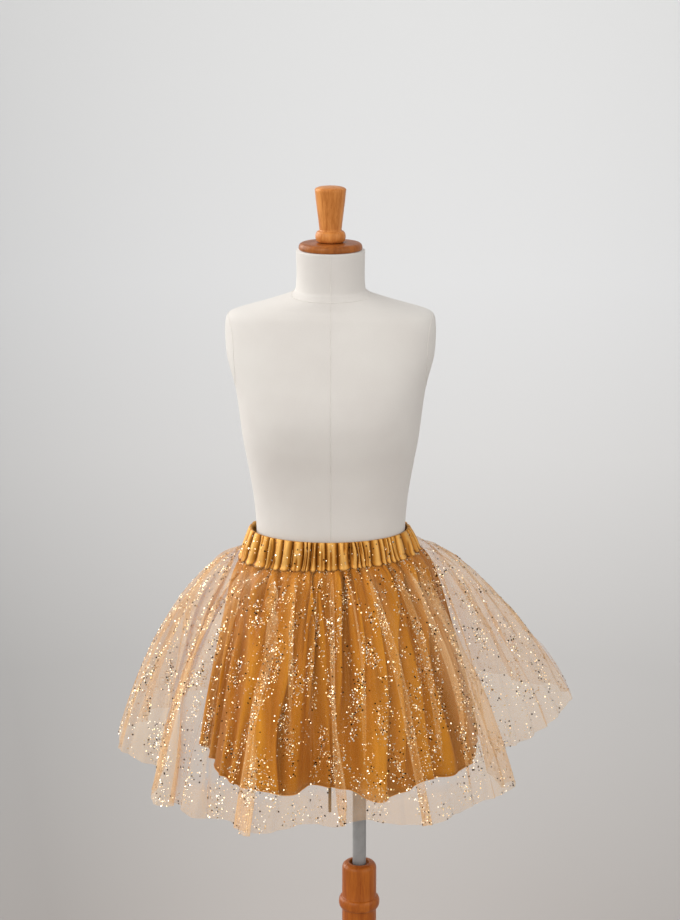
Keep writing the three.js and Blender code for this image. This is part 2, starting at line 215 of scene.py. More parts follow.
floor_material, tree, shader = new_material("pale_floor")
axes = split(tree, object_place(tree))
distance = calculate(tree, "SQRT", plus(tree, times(tree, axes[0], axes[0]), times(tree, axes[1], axes[1])))
nearness = calculate(tree, "DIVIDE", 2.5, plus(tree, distance, 2.5))
sideways = calculate(tree, "DIVIDE", axes[0], plus(tree, distance, 2.0))
# Painted shade: the floor is darker near the stand and towards its far edge.
painted_floor_shade = ramp(tree, nearness, [
    (0.027, (0.47, 0.475, 0.475)),
    (0.05, (0.665, 0.665, 0.665)),
    (0.22, (0.67, 0.67, 0.675)),
    (0.34, (0.62, 0.612, 0.608)),
    (0.5, (0.50, 0.487, 0.478)),
    (0.72, (0.475, 0.445, 0.425)),
])
# Painted shade: the floor is darker to the sides, most of all on the left.
leaning = plus(tree, 1.0, times(tree, sideways, 0.42))
falling = times(tree, times(tree, sideways, sideways), 4.0)
painted_side_shade = calculate(tree, "MAXIMUM", calculate(tree, "SUBTRACT", leaning, falling), 0.76)
painted_side_shade_colour = join(tree, painted_side_shade, painted_side_shade, painted_side_shade)
feed(tree, shader, {
    "Base Color": mix_colours(tree, 1.0, painted_floor_shade, painted_side_shade_colour, "MULTIPLY"),
    "Roughness": 0.9,
    "Specular IOR Level": 0.1,
})
floor.data.materials.append(floor_material)
print("floor reaches", floor_edges[1], "m")

# %% [markdown]
# The light is even and soft. The room is a pale ramp from below to above. Three big soft suns are added,
# because a sun gives the whole skirt the same light: the key in the left front, a low one on the left behind
# the form that rakes over the folds, and a weaker one on the right.

# %% Room and lights
world = bpy.data.worlds.new("studio_world")
world.use_nodes = True
tree = world.node_tree
looked_at = add_node(tree, "ShaderNodeTexCoord").outputs["Generated"]
above = (-0.40, 0.05, 0.915)
height_seen = add_node(tree, "ShaderNodeVectorMath", {0: looked_at, 1: above}, operation="DOT_PRODUCT")
room = ramp(tree, remap(tree, height_seen.outputs["Value"], -1.0, 1.0), [
    (0.15, (0.42, 0.41, 0.40)),
    (0.55, (0.54, 0.54, 0.54)),
    (1.0, (0.55, 0.56, 0.57)),
])
feed(tree, tree.nodes["Background"], {"Color": room, "Strength": 1.0})
scene.world = world

# Each row: name, direction towards the light, strength, angle across in degrees and colour.
soft_lights = [
    ("key_light", (-0.52, -0.66, 0.50), 1.36, 46, (1.0, 0.98, 0.95)),
    ("rim_light", (-0.83, 0.42, 0.34), 2.5, 58, (1.0, 0.99, 0.97)),
    ("fill_light", (0.80, -0.60, 0.36), 0.95, 60, (1.0, 0.98, 0.95)),
]
for name, direction, strength, across, colour in soft_lights:
    light_data = bpy.data.lights.new(name, "SUN")
    light_data.energy = strength
    light_data.angle = math.radians(across)
    light_data.color = colour
    light = bpy.data.objects.new(name, light_data)
    light.rotation_euler = Vector(direction).to_track_quat("Z", "Y").to_euler()
    scene.collection.objects.link(light)
print(len(soft_lights), "soft lights")

# %% [markdown]
# Finishes that more than one piece shares are node groups. Each is built once, with named inputs and outputs,
# and is placed in every material that needs it with that material's own values.

# %% Group helpers
COLOUR = "NodeSocketColor"
NUMBER = "NodeSocketFloat"


def new_group(name, inputs, outputs):
    """Empty shader group with named sockets: inputs are (name, kind, default), outputs are (name, kind)."""
    group = bpy.data.node_groups.new(name, "ShaderNodeTree")
    for label, kind, default in inputs:
        socket = group.interface.new_socket(label, in_out="INPUT", socket_type=kind)
        socket.default_value = default
    for label, kind in outputs:
        group.interface.new_socket(label, in_out="OUTPUT", socket_type=kind)
    entry = group.nodes.new("NodeGroupInput").outputs
    leave = group.nodes.new("NodeGroupOutput").inputs
    return group, entry, leave


def use_group(tree, group, inputs):
    return add_node(tree, "ShaderNodeGroup", inputs, node_tree=group).outputs


print("sockets are of the kinds", COLOUR, "and", NUMBER)

# %% [markdown]
# Woven threads is the plain over and under of warp and weft. It is laid out on the cloth's own coordinates in
# metres, so it keeps its scale and follows every fold, which an object's coordinates wouldn't do.

# %% Woven threads


def cloth_place(tree):
    """The cloth's own coordinates in metres."""
    return add_node(tree, "ShaderNodeUVMap", uv_map="cloth").outputs[0]


woven_threads, entry, leave = new_group(
    "woven_threads",
    [("Warp per metre", NUMBER, 2000.0), ("Weft per metre", NUMBER, 2000.0)],
    [("Height", NUMBER)],
)
cloth_axes = split(woven_threads, cloth_place(woven_threads))
thread_waves = []
for axis in (0, 1):
    threads = times(woven_threads, cloth_axes[axis], entry[axis])
    thread_waves.append(calculate(woven_threads, "SINE", times(woven_threads, threads, math.pi)))
crossing = times(woven_threads, *thread_waves)
weave_height = plus(woven_threads, times(woven_threads, crossing, 0.5), 0.5)
woven_threads.links.new(weave_height, leave["Height"])
print(woven_threads.name, "has", len(woven_threads.nodes), "nodes")

# %% [markdown]
# Soft tone mixes two colours in slow patches, as real cloth, wood and metal never have one flat colour. Its
# mask can also vary the roughness.

# %% Soft tone


def noise(tree, place, scale, detail, roughness=0.5, distortion=0.0):
    return add_node(tree, "ShaderNodeTexNoise", {
        "Vector": place, "Scale": scale, "Detail": detail, "Roughness": roughness, "Distortion": distortion,
    }).outputs["Fac"]


soft_tone, entry, leave = new_group(
    "soft_tone",
    [("Light", COLOUR, (1, 1, 1, 1)), ("Dark", COLOUR, (0, 0, 0, 1)), ("Patches per metre", NUMBER, 8.0)],
    [("Colour", COLOUR), ("Mask", NUMBER)],
)
tone_noise = noise(soft_tone, object_place(soft_tone), entry["Patches per metre"], 4.0, 0.55)
tone_mask = remap(soft_tone, tone_noise, 0.3, 0.7)
soft_tone.links.new(mix_colours(soft_tone, tone_mask, entry["Dark"], entry["Light"]), leave["Colour"])
soft_tone.links.new(tone_mask, leave["Mask"])


def toned(tree, light, dark, patches):
    """Places soft tone in a material. Its outputs are Colour and Mask."""
    inputs = {"Light": (*light, 1), "Dark": (*dark, 1), "Patches per metre": patches}
    return use_group(tree, soft_tone, inputs)


print(soft_tone.name, "has", len(soft_tone.nodes), "nodes")

# %% [markdown]
# Gold satin is a smooth, glossy cloth: its long floats give broad soft highlights that run across the folds.
# Light that gets into a hollow bounces from gold to gold, so the hollows get a deep orange brown painted
# shade and the crests a pale painted highlight, both from the painted hollow shade attribute. Anisotropy
# stretches the highlight as the floats do, and a faint weave keeps it from looking like plastic.

# %% Gold satin


def vertex_value(tree, name):
    return add_node(tree, "ShaderNodeAttribute", attribute_name=name).outputs["Fac"]


def bumped(tree, height, strength, distance=0.0004):
    inputs = {"Height": height, "Strength": strength, "Distance": distance}
    return add_node(tree, "ShaderNodeBump", inputs).outputs[0]


def satin_material(name, painted_crest_highlight, slope, painted_hollow_shade, roughness, metallic):
    """The three colours are those of the crests, a painted highlight, the slopes, and the hollows, a painted
    shade.
    """
    material, tree, shader = new_material(name)
    # Painted light and shade: pale crests and dark hollows, from the painted hollow shade attribute.
    painted_fold_light_colour = ramp(tree, vertex_value(tree, "painted_hollow_shade"), [(0.0, painted_crest_highlight), (0.38, slope), (1.0, painted_hollow_shade)])
    patches = toned(tree, (1.0, 1.0, 1.0), (0.86, 0.80, 0.72), 11.0)
    weave = use_group(tree, woven_threads, {"Warp per metre": 2400.0, "Weft per metre": 1500.0})
    feed(tree, shader, {
        "Base Color": mix_colours(tree, 1.0, painted_fold_light_colour, patches["Colour"], "MULTIPLY"),
        "Roughness": remap(tree, patches["Mask"], 0.0, 1.0, roughness + 0.06, roughness - 0.04),
        "Metallic": metallic,
        "Normal": bumped(tree, weave["Height"], 0.12),
        "Anisotropic": 0.45,
        "Specular IOR Level": 0.5,
        "Specular Tint": (1.0, 0.62, 0.2, 1),
    })
    return material


# Each satin's colours: painted crest highlight, slope, painted hollow shade.
skirt_satin = satin_material(
    "skirt_satin", (0.64, 0.25, 0.012), (0.44, 0.135, 0.003), (0.11, 0.020, 0.001), 0.38, 0.2)
band_satin = satin_material(
    "band_satin", (0.77, 0.425, 0.12), (0.46, 0.18, 0.022), (0.07, 0.012, 0.001), 0.30, 0.3)
gold_thread = satin_material(
    "gold_thread", (0.50, 0.24, 0.04), (0.36, 0.15, 0.02), (0.3, 0.1, 0.01), 0.5, 0.0)
print("satin tones:", skirt_satin.name, band_satin.name, gold_thread.name)

# %% [markdown]
# Glitter tulle is a fine net. It is so open that most light passes: the net mask makes threads solid and
# holes clear, and the crease attribute gives pressed folds a little more cover and a paler colour, a painted
# highlight. Where the net hangs free, light reaches its threads from both sides, so they are painted paler
# there, as painted light from behind, and given more cover; close over the satin their colour is painted
# darker and warmer, as painted shade. The apart attribute, made once both layers exist, says how free the net
# hangs.

# %% Glitter tulle
net_pitch = 1.3 * MM
tulle_material, tree, shader = new_material("sheer_tulle")
net_axes = split(tree, cloth_place(tree))
net_lines = []
for turn in np.radians((0, 60, 120)):
    along_x = times(tree, net_axes[0], math.cos(turn))
    along_y = times(tree, net_axes[1], math.sin(turn))
    wave = times(tree, plus(tree, along_x, along_y), 2 * math.pi / net_pitch)
    net_lines.append(calculate(tree, "COSINE", wave))
strongest = calculate(tree, "MAXIMUM", calculate(tree, "MAXIMUM", net_lines[0], net_lines[1]), net_lines[2])
net_mask = remap(tree, strongest, 0.72, 0.96)
crease = vertex_value(tree, "crease")
apart = vertex_value(tree, "apart")
thread_share = plus(tree, times(tree, apart, 0.24), 0.16)
cover = plus(tree, times(tree, apart, 0.10), 0.04)
cover = plus(tree, cover, times(tree, net_mask, thread_share))
cover = plus(tree, cover, times(tree, crease, 0.26))
tulle_tone = toned(tree, (0.86, 0.575, 0.315), (0.77, 0.475, 0.225), 14.0)
# Painted light: free net and creases are mixed towards white, net close over the satin towards a darker warm
# tone.
painted_light_paleness = calculate(tree, "MAXIMUM", times(tree, apart, apart), times(tree, crease, 0.7))
painted_light_colour = mix_colours(tree, painted_light_paleness, (0.88, 0.70, 0.42, 1), (1, 1, 1, 1))
feed(tree, shader, {
    "Base Color": mix_colours(tree, 1.0, tulle_tone["Colour"], painted_light_colour, "MULTIPLY"),
    "Alpha": cover,
    "Roughness": 0.6,
    "Specular IOR Level": 0.1,
})
print("net threads are", round(net_pitch / MM, 2), "mm apart")

# %% [markdown]
# Glitter is thousands of tiny metal flakes glued to the net. Each flake is a real hexagon with its own tilt,
# so some catch the key light and flash. A few are painted near black, a painted reflection of the dark side
# of the room. An attribute gives each flake its own gold, from nearly white to that painted dark.

# %% Glitter metal
glitter_material, tree, shader = new_material("gold_glitter")
flake_gold_and_painted_dark = vertex_value(tree, "flake_gold_and_painted_dark")
# Painted reflection: the two darkest stops; the others are the flakes' own gold.
flake_colour = ramp(tree, flake_gold_and_painted_dark, [
    (0.0, (0.015, 0.008, 0.004)),
    (0.22, (0.06, 0.03, 0.012)),
    (0.30, (0.94, 0.60, 0.26)),
    (0.50, (1.0, 0.76, 0.44)),
    (1.0, (1.0, 0.95, 0.82)),
])
flake_roughness = remap(tree, flake_gold_and_painted_dark, 0.0, 1.0, 0.3, 0.16)
feed(tree, shader, {"Base Color": flake_colour, "Metallic": 1.0, "Roughness": flake_roughness})
print("glitter metal has", len(glitter_material.node_tree.nodes), "nodes")

# %% [markdown]
# The flakes are scattered over a panel's own grid, more of them where a patch is larger. Scattering by a
# modifier would do it too, but a seeded draw gives every flake its tilt, size and shade in a few lines, and
# all flakes of a panel are one mesh, which is light to render.

# %% Flakes


def unit(vectors):
    return vectors / np.maximum(np.linalg.norm(vectors, axis=-1, keepdims=True), 1e-12)


def joined_copies(name, template, triangles, origins, frames, scales):
    """One mesh of many small copies. Each frame is a 3 by 3 array whose rows are the copy's own axes."""
    local = np.asarray(template, float)[None] * np.asarray(scales)[:, None, :]
    points = origins[:, None, :] + np.einsum("nkj,nji->nki", local, frames)
    offsets = np.arange(len(origins))[:, None, None] * len(template)
    faces = (np.asarray(triangles)[None] + offsets).reshape(-1, 3)
    return mesh_object(name, points, faces)


flake_corners = [(math.cos(angle), math.sin(angle), 0) for angle in np.radians(np.arange(0, 360, 60))]
flake_triangles = [(0, 1, 2), (0, 2, 3), (0, 3, 4), (0, 4, 5)]
flake_tilt = 0.34
big_share = 0.2
big_radii, small_radii, painted_dark_radii = (1.0, 1.4), (0.45, 0.8), (1.0, 1.65)  # mm


def scatter_flakes(name, grid, count, seed, lift, painted_dark_share, thick_where=None):
    """Flakes over a grid of points [column][row], as many on each patch as its area asks for."""
    rng = np.random.default_rng(seed)
    across = grid[1:, :-1] - grid[:-1, :-1]
    down = grid[:-1, 1:] - grid[:-1, :-1]
    normals = np.cross(down, across)
    areas = np.linalg.norm(normals, axis=-1)
    weights = areas if thick_where is None else areas * thick_where[:-1, :-1]
    cells = rng.choice(areas.size, count, p=(weights / weights.sum()).ravel())
    shares = rng.random((count, 2))
    start = grid[:-1, :-1].reshape(-1, 3)[cells]
    across = across.reshape(-1, 3)[cells]
    down = down.reshape(-1, 3)[cells]
    normal = unit(normals.reshape(-1, 3)[cells])
    tilt = rng.normal(0, flake_tilt, (count, 2))
    first = unit(across)
    second = np.cross(normal, first)
    normal_tilted = unit(normal + tilt[:, :1] * first + tilt[:, 1:] * second)
    turn = rng.random((count, 1)) * math.pi
    first = unit(np.cross(second, normal_tilted))
    second = np.cross(normal_tilted, first)
    frames = np.stack([
        np.cos(turn) * first + np.sin(turn) * second,
        np.cos(turn) * second - np.sin(turn) * first,
        normal_tilted,
    ], 1)
    # Painted reflection: these flakes get the near-black colour and a larger size.
    dark = rng.random(count) < painted_dark_share
    big = rng.random(count) < big_share
    radius = np.where(big, rng.uniform(*big_radii, count), rng.uniform(*small_radii, count))
    radius = np.where(dark, rng.uniform(*painted_dark_radii, count), radius) * MM
    origins = start + shares[:, :1] * across + shares[:, 1:] * down + lift * normal
    flakes = joined_copies(name, flake_corners, flake_triangles, origins, frames, np.stack([radius] * 3, 1))
    flake_gold_and_painted_dark_values = np.where(dark, rng.uniform(0, 0.22, count), rng.uniform(0.3, 1.0, count))
    give_attribute(flakes, "flake_gold_and_painted_dark", np.repeat(flake_gold_and_painted_dark_values, len(flake_corners)))
    return dress(flakes, glitter_material, "glitter_tulle")


print("a flake has", len(flake_triangles), "triangles")

# %% [markdown]
# The skirt's two layers are the same kind of surface. A table gives the folds of the hem, in order round the
# skirt: the bearing from the front in degrees, the reach from the skirt's axis and the drop below the waist
# seam, in millimetres. These are the CAD model's numbers, so the fine cloth lies on its solid. Only the
# tulle's gathers are shallower here, because finer valleys are added to them below.

# %% Tables of the two layers
waist_height = 1000.0
skirt_axis = np.array([-24.0, 5.0, waist_height])
waist_tilt = 0.05
waist_half_width = 140.5
waist_half_depth = 105.0
seam_gap = 0.3

satin = {
    "seam_inset": 2.3,
    "bulge": (0.2, 0.42),
    "back_puff": 0,
    "gather_depth": 1.6,
    "front_rows": 16,
    "hem": [
        (-97, 211, 328), (-80, 193, 329), (-62, 205, 330), (-49, 213, 330), (-37, 217, 330), (-25, 218, 330),
        (-15, 212, 330), (-8, 168, 329), (1, 176, 329), (10, 198, 329), (19, 242, 330), (29, 228, 330),
        (40, 213, 329), (50, 215, 328), (62, 240, 325), (77, 239, 321),
        (93, 237, 318), (108, 220, 318), (123, 234, 319), (138, 206, 321), (154, 222, 323), (171, 198, 325),
        (188, 213, 326), (204, 191, 327), (220, 214, 328), (236, 197, 328), (250, 212, 328),
    ],
}
tulle = {
    "seam_inset": 0.6,
    "bulge": (0.58, 0.45),
    "back_puff": 10,
    "gather_depth": 1.0,
    "front_rows": 25,
    "hem": [
        (-98, 346, 318), (-90, 337, 322), (-83, 327, 329), (-75, 287, 334), (-62, 306, 336), (-50, 346, 336),
        (-44, 330, 335), (-37, 346, 335), (-30, 338, 335), (-26, 331, 335), (-22, 352, 336), (-17, 360, 336),
        (-11, 332, 335), (-4, 308, 335), (2, 319, 334), (11, 302, 333), (20, 340, 333), (29, 349, 333),
        (41, 324, 333), (50, 328, 333), (58, 321, 332), (66, 271, 326), (74, 285, 304), (80, 326, 294),
        (87, 366, 270),
        (96, 392, 257), (106, 374, 261), (115, 343, 268), (124, 358, 276), (134, 325, 286), (143, 348, 294),
        (153, 317, 302), (163, 342, 308), (174, 311, 313), (183, 336, 317), (194, 308, 320), (204, 341, 322),
        (214, 314, 323), (225, 347, 323), (236, 318, 322), (246, 337, 320), (255, 321, 319),
    ],
}
print(len(satin["hem"]), "folds and hollows in the satin's hem and", len(tulle["hem"]), "in the tulle's")

# %% [markdown]
# A closed curve through the table's rows is the hem, and each point of it is joined to the waist seam by a
# rounded slope. Bulge says how round the slope is: 0 is a straight cone, and 1 a quarter of an ellipse.

# %% The skirt's surface
gathers_end = 0.75  # share of the drop
puff_end = 0.5


def lerp(start, end, share):
    return start + (end - start) * share


def cubic(here, after, slope_here, slope_after, step):
    """Point at a step from 0 to 1 between two points, with a slope at each."""
    square = -3 * here + 3 * after - 2 * slope_here - slope_after
    cube = 2 * here - 2 * after + slope_here + slope_after
    return here + slope_here * step + square * step**2 + cube * step**3


def lengths_along(path):
    """Length of a path from its first point to each of its points."""
    return np.concatenate([[0], np.cumsum(np.linalg.norm(np.diff(path, axis=0), axis=1))])


def closed_curve(points, shares):
    """Centripetal Catmull-Rom curve through a closed row of points, at shares of the row from 0 to 1."""
    count = len(points)
    place = (np.asarray(shares, float) % 1) * count
    index = np.floor(place).astype(int)
    step = (place - index)[:, None]
    before, here, after, beyond = (points[(index + offset) % count] for offset in (-1, 0, 1, 2))
    gap_before, gap, gap_after = (
        np.maximum(np.linalg.norm(b - a, axis=1) ** 0.5, 1e-4)[:, None]
        for a, b in ((before, here), (here, after), (after, beyond))
    )
    slope_here = (here - before) / gap_before - (after - before) / (gap_before + gap) + (after - here) / gap
    slope_after = (after - here) / gap - (beyond - here) / (gap + gap_after) + (beyond - after) / gap_after
    return cubic(here, after, slope_here * gap, slope_after * gap, step)


def hem_points(layer):
    bearing, reach, drop = np.array(layer["hem"], float).T
    bearing = np.radians(bearing)
    return np.stack([reach * np.sin(bearing), -reach * np.cos(bearing), -drop], 1)


def ellipse_reach(half_width, half_depth, bearing):
    return 1 / np.hypot(np.sin(bearing) / half_width, np.cos(bearing) / half_depth)


def seam_height(bearing):
    return waist_tilt * ellipse_reach(waist_half_width, waist_half_depth, bearing) * np.sin(bearing)


def skirt_surface(layer, round_shares, down_shares):
    """Points [column][row] in millimetres from the skirt's axis at the waist seam."""
    hem = closed_curve(hem_points(layer), round_shares)
    bearing = np.arctan2(hem[:, 0], -hem[:, 1])[:, None]
    hem_reach = np.hypot(hem[:, 0], hem[:, 1])[:, None]
    inset = layer["seam_inset"]
    waist_reach = ellipse_reach(waist_half_width - inset, waist_half_depth - inset, bearing)
    down = np.asarray(down_shares, float)[None, :]
    angle = down * math.pi / 2
    fall = 1 - np.cos(angle)
    bulge = lerp(*layer["bulge"], (1 + np.sin(bearing)) / 2)
    spread = (1 - bulge) * fall + bulge * np.sin(angle)
    fade = np.sin(math.pi * np.minimum(1, down / gathers_end))
    wave = np.sin(2 * math.pi * len(layer["hem"]) * np.asarray(round_shares))[:, None]
    puff = np.sin(math.pi * np.minimum(1, down / puff_end)) * np.maximum(0, -np.cos(bearing))
    reach = lerp(waist_reach, hem_reach, spread) + layer["gather_depth"] * fade * wave
    height = lerp(seam_height(bearing) - seam_gap, hem[:, 2:], fall) + layer["back_puff"] * puff
    return np.stack([reach * np.sin(bearing), -reach * np.cos(bearing), height], -1)


def hem_ruler(layer):
    """Shares round the hem, the bearing there in degrees and the length of hem from the first row, in mm."""
    shares = np.linspace(0, 1, 8001)
    points = closed_curve(hem_points(layer), shares)
    bearings = np.degrees(np.unwrap(np.arctan2(points[:, 0], -points[:, 1])))
    return shares, bearings, lengths_along(points)


for label, layer in (("satin", satin), ("tulle", tulle)):
    print(label, "hem is", round(hem_ruler(layer)[2][-1] * MM, 2), "m round")

# %% [markdown]
# Tulle doesn't hang in smooth waves: it falls in folds that lie over themselves. A fold is a wave along the
# surface's normal together with a sideways push, so that its crest leans over its hollow and three layers of
# net lie on each other in a band. Each fold has its bearing at the hem and at the waist, because gathers send
# the cloth down straighter than rays would, and then a width, a depth and a lean. Close to the waistband the
# cloth is pressed into narrow valleys: they are kept as an attribute of painted shade, which paints them
# darker and redder, as light that gets into them comes back redder.

# %% Folds and valleys
cloth_waves = (3, 5, 8, 13, 21, 34)  # a metre of hem
gather_waves = (7, 11, 17, 26, 41)  # once round the waist
hem_flutter = ((1.5, 83), (0.5, 37))  # size and length, mm


def smoothstep(values, start, end):
    share = np.clip((values - start) / (end - start), 0, 1)
    return share * share * (3 - 2 * share)


def fold_strength(down_share, start, end):
    return smoothstep(down_share, start, start + 0.25) * (1 - smoothstep(down_share, end - 0.2, end + 0.05))


def folded_surface(layer, folds, round_shares, down_shares, seed, ripple, valleys, valley_depth):
    """The skirt's surface with its folds, in millimetres, with a crease mask and a mask of painted shade for
    the hollows.
    """
    rng = np.random.default_rng(seed)
    shares, bearings, lengths = hem_ruler(layer)
    base = skirt_surface(layer, round_shares, down_shares)
    along = unit(np.gradient(base, axis=0))
    normal = unit(np.cross(unit(np.gradient(base, axis=1)), along))
    place = np.interp(round_shares, shares, lengths)[:, None]
    down_share = np.asarray(down_shares)[None, :]
    hem_reach = np.hypot(base[:, -1, 0], base[:, -1, 1])[:, None]
    narrowing = np.hypot(base[..., 0], base[..., 1]) / hem_reach
    lift = np.zeros(base.shape[:2])
    push = np.zeros(base.shape[:2])
    crease_mask = np.zeros(base.shape[:2])

    for hem_bearing, waist_bearing, width, depth, lean, start, end in folds:
        ends = np.interp([waist_bearing, hem_bearing], bearings, lengths)
        swing, breath, drift = rng.uniform(0, 2 * math.pi, 3)
        wobble = 0.9 * np.sin(5.2 * down_share + swing) + 0.35 * np.sin(13 * down_share + drift)
        centre = lerp(*ends, down_share**0.75) + width * wobble
        offset = (place - centre) / (width * (1 + 0.35 * np.sin(6.5 * down_share + breath)))
        strength = fold_strength(down_share, start, end)
        bump = -offset * np.exp(0.5 * (1 - offset**2)) * strength
        lift += depth * bump * lerp(0.35, 1, narrowing)
        push += lean * depth * bump * narrowing
        overlap = min(1.0, abs(lean) * depth / width / 2)
        edges = np.exp(-(((np.abs(offset) - 1) / 0.35) ** 2))
        crease_mask = np.maximum(crease_mask, edges * strength * overlap)

    for turns in cloth_waves:
        phase = rng.uniform(0, 2 * math.pi)
        bend = rng.normal(0, 1.4)
        size = ripple * rng.uniform(0.6, 1.2) * (8 / (8 + turns)) ** 0.5
        wave = np.sin(2 * math.pi * turns * place / 1000 + phase + bend * down_share)
        lift += size * wave * smoothstep(down_share, 0.2, 0.95)

    turn = 2 * math.pi * np.asarray(round_shares)[:, None]
    wander = sum(rng.normal(0, 0.35) * np.sin(k * turn + rng.uniform(0, 7)) for k in gather_waves)
    slant = 0.5 * np.sin(5 * turn + rng.uniform(0, 7)) * down_share
    valley = (1 - np.abs(np.sin(valleys * turn / 2 + wander + slant))) ** 1.6
    uneven = 0.65 + 0.35 * np.sin(valleys * turn / 4.7 + rng.uniform(0, 7))
    run_out = 0.55 + 0.25 * np.sin(valleys * turn / 3.3 + rng.uniform(0, 7)) + 0.1 * np.sin(9 * turn)
    valley_fade = smoothstep(down_share, 0.0, 0.07) * (1 - 0.92 * smoothstep(down_share / run_out, 0.15, 1.2))
    valley_shape = valley * uneven * valley_fade
    lift -= valley_depth * valley_shape
    # Painted light and shade: darker where the cloth lies low, paler where it stands out, more strongly near
    # the waist.
    painted_hollow_shade = np.clip(0.30 - lift / (lerp(1.4, 2.8, down_share) * valley_depth), 0, 1)
    crease_mask = np.maximum(crease_mask, 0.6 * valley_shape)

    points = base + normal * lift[..., None] + along * push[..., None]
    phases = rng.normal(0, 1, len(hem_flutter))
    flutter = sum(
        size * np.sin(2 * math.pi * place / length + phase)
        for (size, length), phase in zip(hem_flutter, phases)
    )
    points[..., 2] += flutter * smoothstep(down_share, 0.8, 1)
    return points, crease_mask, painted_hollow_shade


print("folds run over", len(cloth_waves), "slow waves")

# %% [markdown]
# A panel is the part of the surface between two rows of its layer's table. The points are laid out on a grid
# of columns and rows, and each point gets its place along the hem and its drop in metres as cloth
# coordinates, so that weave and net keep their real size on every fold.

# %% Panels of cloth
side_seam_trim = 0.00008  # share of the hem


def to_row_frame(points):
    return (points + skirt_axis) * MM


def cloth_panel(name, layer, folds, start_row, end_row, columns, rows, seed, ripple, valleys, valley_depth):
    """One panel as an open sheet with cloth coordinates in metres. Returns the object and its grid."""
    total = len(layer["hem"])
    round_shares = np.linspace(start_row / total + side_seam_trim, end_row / total - side_seam_trim, columns)
    down_shares = np.linspace(0, 1, rows)
    points, crease_mask, painted_hollow_shade = folded_surface(
        layer, folds, round_shares, down_shares, seed, ripple, valleys, valley_depth)
    grid = to_row_frame(points)
    shares, _, lengths = hem_ruler(layer)
    place = np.interp(round_shares, shares, lengths) * MM
    drop = np.linspace(0, np.linalg.norm(np.diff(grid, axis=1), axis=2).sum(1).mean(), rows)
    uvs = np.stack(np.broadcast_arrays(place[:, None], drop[None, :]), -1)
    piece = mesh_object(name, grid, grid_faces(columns, rows), uvs)
    give_attribute(piece, "crease", crease_mask)
    give_attribute(piece, "painted_hollow_shade", painted_hollow_shade)
    return piece, grid


tulle_hem_length = hem_ruler(tulle)[2][-1]
print("side seams are open by", round(2 * side_seam_trim * tulle_hem_length, 2), "mm at the tulle's hem")

# %% [markdown]
# The tulle's big folds are few, and stand in two tables. Between them are many fine creases, too many and too
# much alike to be placed one by one, so a seeded random draw spreads them out.

# %% Folds of the tulle


def random_creases(seed, first, last, count):
    """Fine creases between two bearings, as rows with the columns of the tables of folds."""
    rng = np.random.default_rng(seed)
    middle = round((first + last) / 360) * 180
    creases = []
    for bearing in np.sort(rng.uniform(first, last, count)):
        waist_bearing = middle + (bearing - middle) * rng.uniform(1.0, 1.3)
        start = rng.choice([0.0, 0.02, 0.1, 0.3])
        creases.append((
            bearing, waist_bearing, rng.uniform(3, 8), rng.uniform(1.0, 2.8), rng.uniform(-0.6, 0.6),
            start, start + rng.uniform(0.45, 1.3),
        ))
    return creases


# Each row: bearing at the hem, bearing at the waist, width, depth, lean, and the shares of the drop where the
# fold starts and ends.
front_folds = [
    (-83, -88, 10, 5, 0.5, 0.30, 1.3),
    (-70, -86, 8, 5, 1.0, 0.15, 1.2),
    (-57, -80, 9, 6, 1.7, 0.08, 1.3),
    (-46, -70, 10, 7, 2.2, 0.05, 1.3),
    (-33, -55, 8, 6, 1.6, 0.10, 1.1),
    (-19, -39, 14, 8, 4.0, 0.04, 1.3),
    (-9, -24, 5, 4, 2.3, 0.02, 0.8),
    (-4, -9, 5, 3, 1.2, 0.05, 0.9),
    (2.5, 2, 5, 4.5, 2.6, 0.02, 1.1),
    (11, 14, 5, 3.5, 2.4, 0.05, 0.9),
    (24, 27, 6, 5, 2.6, 0.03, 1.2),
    (33, 48, 6, 4.5, 2.6, 0.03, 0.9),
    (42, 58, 6, 4, 2.2, 0.05, 1.0),
    (58, 70, 13, 8, 2.6, 0.05, 1.3),
    (69, 80, 8, 5, 0.9, 0.10, 1.0),
    (77, 84, 8, 4, 0.7, 0.15, 1.3),
    (84, 88, 8, 4, 0.5, 0.30, 1.3),
] + random_creases(71, -94, 90, 60)
back_folds = [
    (98, 94, 8, 4, 0.5, 0.30, 1.3),
    (107, 99, 10, 5, 0.7, 0.10, 1.3),
    (121, 106, 9, 5, 0.8, 0.06, 1.3),
    (133, 118, 12, 6, 1.0, 0.05, 1.3),
    (146, 134, 7, 5, 1.8, 0.10, 1.3),
    (158, 150, 5, 4, 2.0, 0.08, 1.0),
    (169, 164, 13, 8, 3.6, 0.04, 1.3),
    (180, 180, 6, 4, 2.0, 0.03, 1.3),
    (191, 196, 7, 5, 2.5, 0.06, 1.3),
    (203, 213, 6, 4, 2.2, 0.05, 1.0),
    (214, 226, 11, 7, 2.4, 0.04, 1.3),
    (227, 242, 9, 5, 1.0, 0.10, 1.3),
    (239, 253, 9, 5, 0.8, 0.08, 1.3),
    (251, 258, 8, 4, 0.6, 0.20, 1.3),
] + random_creases(72, 96, 258, 50)
print(len(front_folds), "front folds and creases,", len(back_folds), "behind")

# %% [markdown]
# The overskirt is two panels of tulle, cut wider at the hem than at the waist and gathered into the
# waistband. The hem is left raw, as tulle doesn't fray. A single sheet of faces is right for a net: its
# thickness is one thread, and a Solidify modifier would make every layer of it two.

